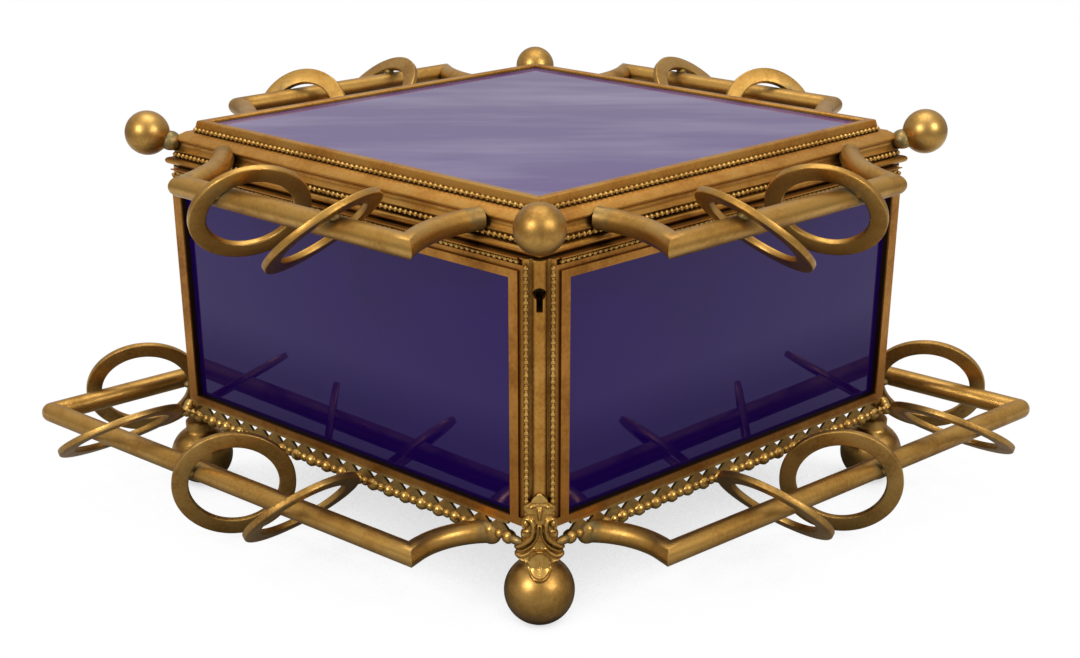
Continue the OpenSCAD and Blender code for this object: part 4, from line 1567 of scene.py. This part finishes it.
class AcanthusLeaves:
    """The cast leaves with two volutes over the front and back feet.

    Each leaf is one relief: an outline with a half width at each height, and a front whose height
    over the sheet behind it is a soft maximum of ribs and swellings. Both halves are alike.
    """

    OUTLINE = (
        (17.7, 0.3), (17.9, 1.3), (18.5, 2.6), (19.4, 3.3), (20.6, 3.8), (21.8, 3.9), (22.4, 4.3),
        (22.8, 6.0), (23.3, 7.2), (24.0, 7.9), (24.8, 8.0), (25.3, 7.5), (25.8, 7.8), (26.6, 8.0),
        (27.3, 7.6), (28.1, 6.9), (29.0, 6.2), (29.9, 5.9), (30.8, 6.0), (31.8, 6.1), (32.8, 5.8),
        (33.6, 5.4), (34.4, 5.5), (35.6, 5.7), (37.0, 5.6), (38.1, 5.0), (38.7, 4.4), (39.3, 4.4),
        (40.0, 4.9), (40.9, 5.3), (41.8, 5.1), (42.5, 4.2), (43.0, 3.0), (43.4, 2.75), (44.0, 2.6),
        (44.8, 2.1), (45.6, 1.4), (46.3, 0.7), (46.6, 0.25),
    )
    RIBS = (
        Rib(((4.5, 34.6), (5.0, 36.0), (4.5, 37.5), (3.4, 38.0), (2.3, 37.3), (1.75, 35.6), (1.75, 33.6),
             (2.4, 31.4), (3.7, 29.4), (5.4, 27.8), (7.0, 26.8)), 0.6, 1.15, 1.9),
        Rib(((0.5, 35.4), (0.65, 32.8), (1.3, 30.4), (2.6, 28.2), (4.4, 26.5), (6.6, 25.4)), 0.5, 0.7, 1.5),
        Rib(((3.2, 33.4), (4.4, 33.4), (5.0, 32.4), (4.5, 31.3)), 0.45, 0.5, 1.2),
        Rib(((0.0, 46.4), (0.0, 43.4)), 1.2, 2.4, 0.8),
        Rib(((1.3, 42.3), (2.9, 42.2), (4.3, 41.4), (4.6, 40.3)), 0.6, 0.9, 1.0),
        Rib(((0.0, 41.0), (0.0, 37.9)), 0.95, 0.45, 1.8),
        Rib(((1.9, 27.2), (3.2, 25.6), (5.0, 24.4), (7.0, 24.2)), 0.5, 0.9, 1.35),
        Rib(((3.9, 23.0), (5.4, 22.9), (6.8, 23.4), (7.6, 24.3)), 0.35, 0.45, 1.0),
        Rib(((0.0, 18.2), (1.5, 18.5), (2.9, 19.7), (3.6, 21.4), (3.7, 22.6)), 0.5, 0.4, 1.3),
        Rib(((0.8, 26.0), (2.0, 25.0), (3.2, 23.4)), 0.35, 0.3, 1.3),
        Rib(((1.2, 39.6), (2.6, 39.6), (3.9, 39.2)), 0.35, 0.4, 0.6),
    )
    BOSSES = (
        Boss((3.85, 36.2), (0.95, 1.5), 1.9),
        Boss((2.5, 42.0), (0.7, 0.7), 1.7),
        Boss((1.75, 22.0), (1.9, 2.9), 0.8),
        Boss((0.0, 26.3), (0.8, 0.8), 2.2),
        Boss((0.85, 26.4), (0.45, 0.45), 1.9),
        Boss((0.0, 27.2), (0.45, 0.45), 1.9),
        Boss((4.9, 31.9), (0.6, 0.7), 1.4),
        Boss((0.0, 33.0), (1.0, 3.4), 0.9),
    )
    CREASES = (
        Rib(((0.0, 24.0), (0.0, 19.4)), 0.4, 0.3, 0.25),
        Rib(((0.0, 43.1), (1.3, 43.1), (2.9, 42.9)), 0.35, 0.3, 0.35),
        Rib(((1.1, 35.6), (1.15, 33.0), (1.8, 30.6), (3.1, 28.6), (5.0, 26.9), (7.0, 26.0)), 0.3, 0.4, 0.4),
    )
    ROWS = 150
    COLUMNS = 61
    BACK = 0.9
    CORNER_SOFTNESS = 5.0

    def __init__(self, palette: Palette, sizes: Sizes = SIZES) -> None:
        """Takes the materials and sizes.

        Args:
            palette: The materials.
            sizes: The sizes.
        """
        self.palette = palette
        self.s = sizes

    def sheet(self, across: Array, up: Array) -> tuple[Array, Array]:
        """Gives the surface that the leaf lies on.

        The sheet is the post's half round above, and the ball below where that stands further out.
        Its outward direction comes from the slopes of that surface, taken by small steps.

        Args:
            across: Places across the leaf.
            up: Heights.

        Returns:
            Points in the corner's frame and unit normals.
        """
        s = self.s

        def depth(w: Array, z: Array) -> Array:
            centre = corner_y(s.face_d) - s.foot_inset
            height = z - (s.foot_r - s.foot_flat)
            room = np.maximum((s.foot_r + 0.4) ** 2 - height**2 - w**2, 0)
            on_ball = centre + np.sqrt(room)
            plain = s.shoulder_front + 2.3 - 0.05 * w**2
            waist = plain - 1.2 * np.exp(-(((z - 28.0) / 4.5) ** 2))
            return np.logaddexp(1.4 * on_ball, 1.4 * waist) / 1.4

        step = 0.05
        out = depth(across, up)
        slope_w = (depth(across + step, up) - depth(across - step, up)) / (2 * step)
        slope_z = (depth(across, up + step) - depth(across, up - step)) / (2 * step)
        normal = np.stack([np.ones_like(out), -slope_w, -slope_z], -1)
        normal /= np.linalg.norm(normal, axis=-1, keepdims=True)
        return np.stack([out, across, up], -1), normal

    @staticmethod
    def rib_height(rib: Rib, across: Array, up: Array) -> Array:
        """Gives how high a rib stands at each place.

        A place as far from the line as the rib's radius gets nothing, and the section is round.

        Args:
            rib: The rib.
            across: Distances from the middle of the leaf.
            up: Heights.

        Returns:
            Heights over the sheet.
        """
        line = smooth_line(rib.points)
        gap = np.hypot(across[..., None] - line[:, 0], up[..., None] - line[:, 1])
        radius = np.linspace(rib.start_r, rib.end_r, len(line))
        share = (gap / radius).min(-1)
        return rib.lift * np.sqrt(np.clip(1 - share**2, 0, 1))

    def relief(self, across: Array, up: Array) -> Array:
        """Gives the height of the leaf's front over the sheet.

        Args:
            across: Places across the leaf.
            up: Heights.

        Returns:
            Heights.
        """
        side = np.abs(across)
        parts = [np.full(side.shape, 0.35)]
        parts += [self.rib_height(rib, side, up) for rib in self.RIBS]
        for boss in self.BOSSES:
            share = ((side - boss.place[0]) / boss.half[0]) ** 2 + ((up - boss.place[1]) / boss.half[1]) ** 2
            parts.append(boss.lift * np.sqrt(np.clip(1 - share, 0, 1)))
        k = self.CORNER_SOFTNESS
        height = np.log(np.sum(np.exp(k * np.stack(parts)), 0)) / k - math.log(len(parts)) / k * 0.6
        for crease in self.CREASES:
            height = height - self.rib_height(crease, side, up)
        return height

    def leaf(self) -> Array:
        """Shapes one leaf as a stack of closed sections.

        Returns:
            Sections by points in the corner's frame.
        """
        knots = np.array(self.OUTLINE)
        up = np.linspace(knots[0, 0], knots[-1, 0], self.ROWS)
        half = np.interp(up, knots[:, 0], knots[:, 1])
        half = np.convolve(np.pad(half, 1, "edge"), [0.25, 0.5, 0.25], "valid")
        share = np.sin(np.linspace(-1, 1, self.COLUMNS) * math.pi / 2 * 0.98)
        across = half[:, None] * share
        height = np.broadcast_to(up[:, None], across.shape)
        front = self.relief(across, height)
        rim = np.sqrt(np.clip(1 - np.abs(share) ** 8, 0, 1))
        ends = np.clip(np.minimum(up - up[0], up[-1] - up) / 0.5, 0, 1)[:, None] ** 0.5
        front = (front + self.BACK) * rim * ends - self.BACK
        base, normal = self.sheet(across, height)
        rear = base - normal * self.BACK * 1.05
        return np.concatenate([base + normal * front[..., None], rear[:, ::6][:, ::-1]], 1)

    def build(self) -> bpy.types.Object:
        """Builds the leaves over both feet.

        Returns:
            The piece.
        """
        surface = Surface()
        for corner in (Corner.FRONT, Corner.BACK):
            surface.add_grid(corner.to_world(self.leaf()))
        return place(surface, "acanthus_leaves", ["foot_leaves"], Body.CASKET, Slot.BRIGHT,
                     self.palette.bright)


# Lid


@dataclass
class Lid:
    """The lid's mouldings, the frame round its glass and its four finials."""

    palette: Palette
    s: Sizes = SIZES

    def cornice(self) -> Array:
        """Gives the moulding's profile with its round edge, its hollow and softened corners.

        Returns:
            Distance outward and height, one pair a row.
        """
        s = self.s
        inner = s.ridge_d - 3.5
        bead_back = s.lid_row_d - s.bead_r - s.seat
        glass_edge = s.top_row_d - s.bead_r - s.seat - 1.6
        a = np.linspace(-math.pi / 2, math.pi / 2, 11)
        edge = np.stack([78.6 + 1.2 * np.cos(a), s.lid_z + 1.2 + 1.2 * np.sin(a)], -1)
        low, high, depth = s.lid_z + s.lid_row_h + s.bead_r + 0.4, s.ridge_z - 0.5, 1.1
        half = (high - low) / 2
        radius = (half * half + depth * depth) / (2 * depth)
        z = np.linspace(low, high, 9)[1:-1]
        hollow = s.ridge_d - depth + radius - np.sqrt(radius**2 - (z - low - half) ** 2)
        upper = rounded(
            np.array([[s.ridge_d, high], [s.ridge_d, s.ridge_z], [s.ridge_d - s.slope_w, s.deck_z]]),
            np.array([0.12, 0.3, 0.0]),
            3,
        )[4:8]
        return np.concatenate(
            [
                [[inner, s.lid_z]],
                edge,
                [[78.5, s.lid_z + 2.45], [bead_back, s.lid_z + 2.6], [bead_back, low - 0.3]],
                [[s.ridge_d - 0.15, low - 0.3], [s.ridge_d, low - 0.15], [s.ridge_d, low]],
                np.stack([hollow, z], -1),
                [[s.ridge_d, high]],
                upper,
                [[s.ridge_d - s.slope_w, s.deck_z], [glass_edge, s.deck_z], [glass_edge, 130.4]],
                [[68.9, 130.4], [68.9, 128.4], [inner, 128.4]],
            ]
        )

    def rim(self) -> Array:
        """Gives the profile of the plain frame round the glass.

        Returns:
            Distance outward and height, one pair a row.
        """
        s = self.s
        outer = s.top_row_d - s.bead_r - s.seat
        inner = outer - 3.4
        wall = outer - 1.55
        corners = np.array(
            [
                [wall, s.deck_z],
                [outer, s.deck_z],
                [outer - 0.7, s.rim_z - 0.3],
                [outer - 1.0, s.rim_z],
                [inner + 0.35, s.rim_z],
                [inner, s.rim_z - 0.35],
                [inner, 133.45],
                [wall, 133.45],
            ]
        )
        return rounded(corners, np.array([0, 0, 0.25, 0.25, 0.25, 0.25, 0, 0]), 2)

    def build(self) -> None:
        """Builds the mouldings, the frame and the finials."""
        for side in Side:
            surface = Surface()
            surface.add_grid(side_run(self.cornice(), side, 12))
            place(surface, f"cornice_{side.label}", [f"lid_moulding_{side.label}"], Body.LID,
                  Slot.GILT, self.palette.cornice)
        frame = Surface()
        for side in Side:
            frame.add_grid(side_run(self.rim(), side, 12, 0.01))
        place(frame, "glass_rim", ["lid_frame"], Body.LID, Slot.GILT, self.palette.cornice)
        for corner in Corner:
            self.finial(corner)

    def finial(self, corner: Corner) -> None:
        """Builds a finial ball on its short neck.

        Args:
            corner: The corner that carries it.
        """
        s = self.s
        reach = corner.reach(s.ridge_d) + s.seat
        surface = Surface()
        sphere = ball(s.finial_r, 40, 56) + np.array([reach + s.finial_out, 0, s.finial_z])
        surface.add_grid(corner.to_world(sphere))
        lump = ball(1.0, 16, 24) * np.array([3.6, 4.0, 3.3])
        lump += np.array([reach + 0.4, 0.0, s.ridge_z - 0.9])
        surface.add_grid(corner.to_world(lump), 1.0)
        place(surface, f"ball_finial_{corner.label}", [f"finial_{corner.label}"], Body.LID,
              Slot.GILT, self.palette.foot)


# CAD nodes that keep their mesh


@dataclass
class KeptNodes:
    """The CAD nodes whose own mesh is shown with a better finish."""

    nodes: dict[str, bpy.types.Object]
    palette: Palette

    def finish_of(self, name: str) -> bpy.types.Material | None:
        """Chooses the material of a CAD node.

        Args:
            name: The node's name.

        Returns:
            Its material, the plain gilt where no entry of the table matches.
        """
        table = (
            ("glass_stops", self.palette.gilt),
            ("glass_", self.palette.side_glass),
            ("lid_glass", self.palette.top_glass),
            ("lock_bolt", self.palette.lock_steel),
            ("lock_screws", self.palette.lock_steel),
            ("lock_", self.palette.lock_brass),
            ("hinge_pin", self.palette.bright),
            ("frame_", self.palette.frame),
            ("post_", self.palette.cornice),
        )
        for start, material in table:
            if name.startswith(start):
                return material
        return self.palette.gilt

    def build(self) -> None:
        """Gives every shown CAD node its finish."""
        for name, node in self.nodes.items():
            if node.hide_render:
                continue
            node.data.materials.clear()
            node.data.materials.append(self.finish_of(name))
        LOG.info("kept %d CAD nodes", sum(not n.hide_render for n in self.nodes.values()))


# Studio


@dataclass(frozen=True)
class CameraFit:
    """The camera that was fitted to the photograph, in the casket's frame in metres."""

    position: Colour = (-0.00367, -0.52509, 0.26337)
    right: Colour = (0.99996, -0.00889, 0.00022)
    down: Colour = (-0.00302, -0.36306, -0.93176)
    forward: Colour = (0.00836, 0.93172, -0.36307)
    lens: float = 52.82

    def build(self) -> bpy.types.Object:
        """Makes the camera.

        Returns:
            The camera.
        """
        data = bpy.data.cameras.new("camera")
        data.lens = self.lens
        data.sensor_width = 36.0
        data.clip_start = 0.01
        data.clip_end = 20.0
        camera = bpy.data.objects.new("camera", data)
        matrix = np.eye(4)
        matrix[:3, 0] = self.right
        matrix[:3, 1] = -np.array(self.down)
        matrix[:3, 2] = -np.array(self.forward)
        matrix[:3, 3] = self.position
        camera.matrix_world = Matrix(matrix.tolist())
        bpy.context.scene.collection.objects.link(camera)
        bpy.context.scene.camera = camera
        return camera


@dataclass(frozen=True)
class SoftBox:
    """A square lamp that looks at the casket."""

    name: str
    position: Colour
    size: float
    power: float
    colour: Colour = (1.0, 1.0, 1.0)

    def build(self) -> None:
        """Makes the lamp."""
        data = bpy.data.lights.new(self.name, "AREA")
        data.shape = "SQUARE"
        data.size = self.size
        data.energy = self.power
        data.color = self.colour
        lamp = bpy.data.objects.new(self.name, data)
        aim = np.array([0.0, 0.0, 0.08]) - np.array(self.position)
        back = -aim / np.linalg.norm(aim)
        right = np.cross([0.0, 0.0, 1.0], back)
        right /= np.linalg.norm(right)
        matrix = np.eye(4)
        matrix[:3, 0], matrix[:3, 1], matrix[:3, 2] = right, np.cross(back, right), back
        matrix[:3, 3] = self.position
        lamp.matrix_world = Matrix(matrix.tolist())
        bpy.context.scene.collection.objects.link(lamp)


class Studio:
    """The white sweep, the lamps and the surroundings that the metal and glass reflect."""

    LAMPS = (
        SoftBox("key_left", (-0.75, -0.85, 0.75), 0.35, 9.0),
        SoftBox("key_right", (0.85, -0.8, 0.8), 0.35, 8.0),
        SoftBox("top", (0.0, 0.1, 1.3), 0.9, 7.0),
    )

    def build(self) -> None:
        """Makes the floor, the world and the lamps."""
        self.floor()
        self.world()
        for lamp in self.LAMPS:
            lamp.build()
        bpy.context.scene.view_settings.view_transform = "Standard"

    def floor(self) -> None:
        """Makes a pale floor that shows white, with a painted soft shadow close to the casket.

        Camera, glossy and transmission rays see it as a glow of strength 1, dimmed as painted shadow
        where ambient occlusion finds it hidden from the sky by the casket. In reflections it is also
        painted darker close to the casket's sides and fades towards the far edge of the table. Other
        rays see plain pale paper.
        """
        mesh = bpy.data.meshes.new("floor")
        mesh.from_pydata([(-3, -3, 0), (3, -3, 0), (3, 3, 0), (-3, 3, 0)], [], [(0, 1, 2, 3)])
        floor = bpy.data.objects.new("floor", mesh)
        bpy.context.scene.collection.objects.link(floor)
        graph = NodeGraph("floor_paper")
        diffuse = graph.node("ShaderNodeBsdfDiffuse")
        graph.put(diffuse.inputs["Color"], (0.78, 0.78, 0.78))
        rays = graph.node("ShaderNodeLightPath").outputs
        sky = graph.node("ShaderNodeAmbientOcclusion", samples=8)
        sky.inputs["Distance"].default_value = 0.09
        # Painted shadow: the glow is dimmed where ambient occlusion finds the casket close above.
        seen = graph.ranged(sky.outputs["AO"], 0.02, 0.3, 0.5, 1.0)
        mirrored = graph.ranged(sky.outputs["AO"], 0.4, 0.97, 0.06, 1.0)
        reach = graph.node("ShaderNodeVectorMath", operation="LENGTH")
        graph.put(reach.inputs[0], graph.coords)
        fade = graph.ranged(reach.outputs["Value"], 0.4, 1.0, 1.0, 0.25)
        mirrored = graph.maths("MULTIPLY", mirrored, fade)
        # Painted shadow in reflections: darker where the plan lies close to the casket's sides.
        outward = graph.plan_measure((math.sin(SIZES.slope), math.cos(SIZES.slope), 0.0))
        under = graph.ranged(outward, 0.165, 0.2, 0.6, 1.0)
        mirrored = graph.maths("MULTIPLY", mirrored, under)
        lean = graph.node("ShaderNodeMix", data_type="FLOAT")
        for socket, value in zip(lean.inputs[:1] + lean.inputs[2:4], (rays["Is Camera Ray"], mirrored, seen)):
            graph.put(socket, value)
        white = graph.node("ShaderNodeEmission")
        graph.put(white.inputs["Strength"], lean.outputs[0])
        share = graph.maths("MAXIMUM", rays["Is Camera Ray"], rays["Is Glossy Ray"])
        share = graph.maths("MAXIMUM", share, rays["Is Transmission Ray"])
        mix = graph.node("ShaderNodeMixShader")
        graph.put(mix.inputs[0], graph.maths("MULTIPLY", share, 0.98))
        graph.put(mix.inputs[1], diffuse.outputs[0])
        graph.put(mix.inputs[2], white.outputs[0])
        graph.tree.links.new(mix.outputs[0], graph.output.inputs["Surface"])
        mesh.materials.append(graph.material)

    def world(self) -> None:
        """Makes surroundings that are white to the camera and graded in reflections.

        Reflections see a pale backdrop behind the casket, a duller room in front of it and a
        brighter ceiling.
        """
        world = bpy.data.worlds.new("room")
        world.use_nodes = True
        tree = world.node_tree
        tree.nodes.clear()
        coords = tree.nodes.new("ShaderNodeTexCoord")
        split = tree.nodes.new("ShaderNodeSeparateXYZ")
        tree.links.new(coords.outputs["Generated"], split.inputs[0])
        total = tree.nodes.new("ShaderNodeMath")
        for k, (axis, numbers) in enumerate(
            (("Y", (-0.6, 0.7, 0.38, 0.62)), ("Z", (0.4, 0.9, 0.0, 0.5)))
        ):
            part = tree.nodes.new("ShaderNodeMapRange")
            for key, value in zip(("From Min", "From Max", "To Min", "To Max"), numbers):
                part.inputs[key].default_value = value
            tree.links.new(split.outputs[axis], part.inputs["Value"])
            tree.links.new(part.outputs[0], total.inputs[k])
        rays = tree.nodes.new("ShaderNodeLightPath")
        room = tree.nodes.new("ShaderNodeBackground")
        tree.links.new(total.outputs[0], room.inputs["Strength"])
        seen = tree.nodes.new("ShaderNodeBackground")
        mix = tree.nodes.new("ShaderNodeMixShader")
        output = tree.nodes.new("ShaderNodeOutputWorld")
        room.inputs["Color"].default_value = (1.0, 0.98, 0.95, 1.0)
        seen.inputs["Color"].default_value = (1.0, 1.0, 1.0, 1.0)
        tree.links.new(rays.outputs["Is Camera Ray"], mix.inputs[0])
        tree.links.new(room.outputs[0], mix.inputs[1])
        tree.links.new(seen.outputs[0], mix.inputs[2])
        tree.links.new(mix.outputs[0], output.inputs["Surface"])
        bpy.context.scene.world = world


def main() -> None:
    """Builds the casket's looks piece by piece and reports."""
    logging.basicConfig(level=logging.INFO, format="%(name)s: %(message)s")
    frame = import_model()
    palette = Palette()
    LowerGallery(palette).build()
    UpperGallery(palette).build()
    Beading(palette, np.random.default_rng(7)).build()
    for side in Side:
        BeadRail(side, palette).build()
    for corner in Corner:
        Foot(corner, palette).build()
    AcanthusLeaves(palette).build()
    Lid(palette).build()
    KeptNodes(frame["nodes"], palette).build()
    Studio().build()
    CameraFit().build()


if __name__ == "__main__":
    main()
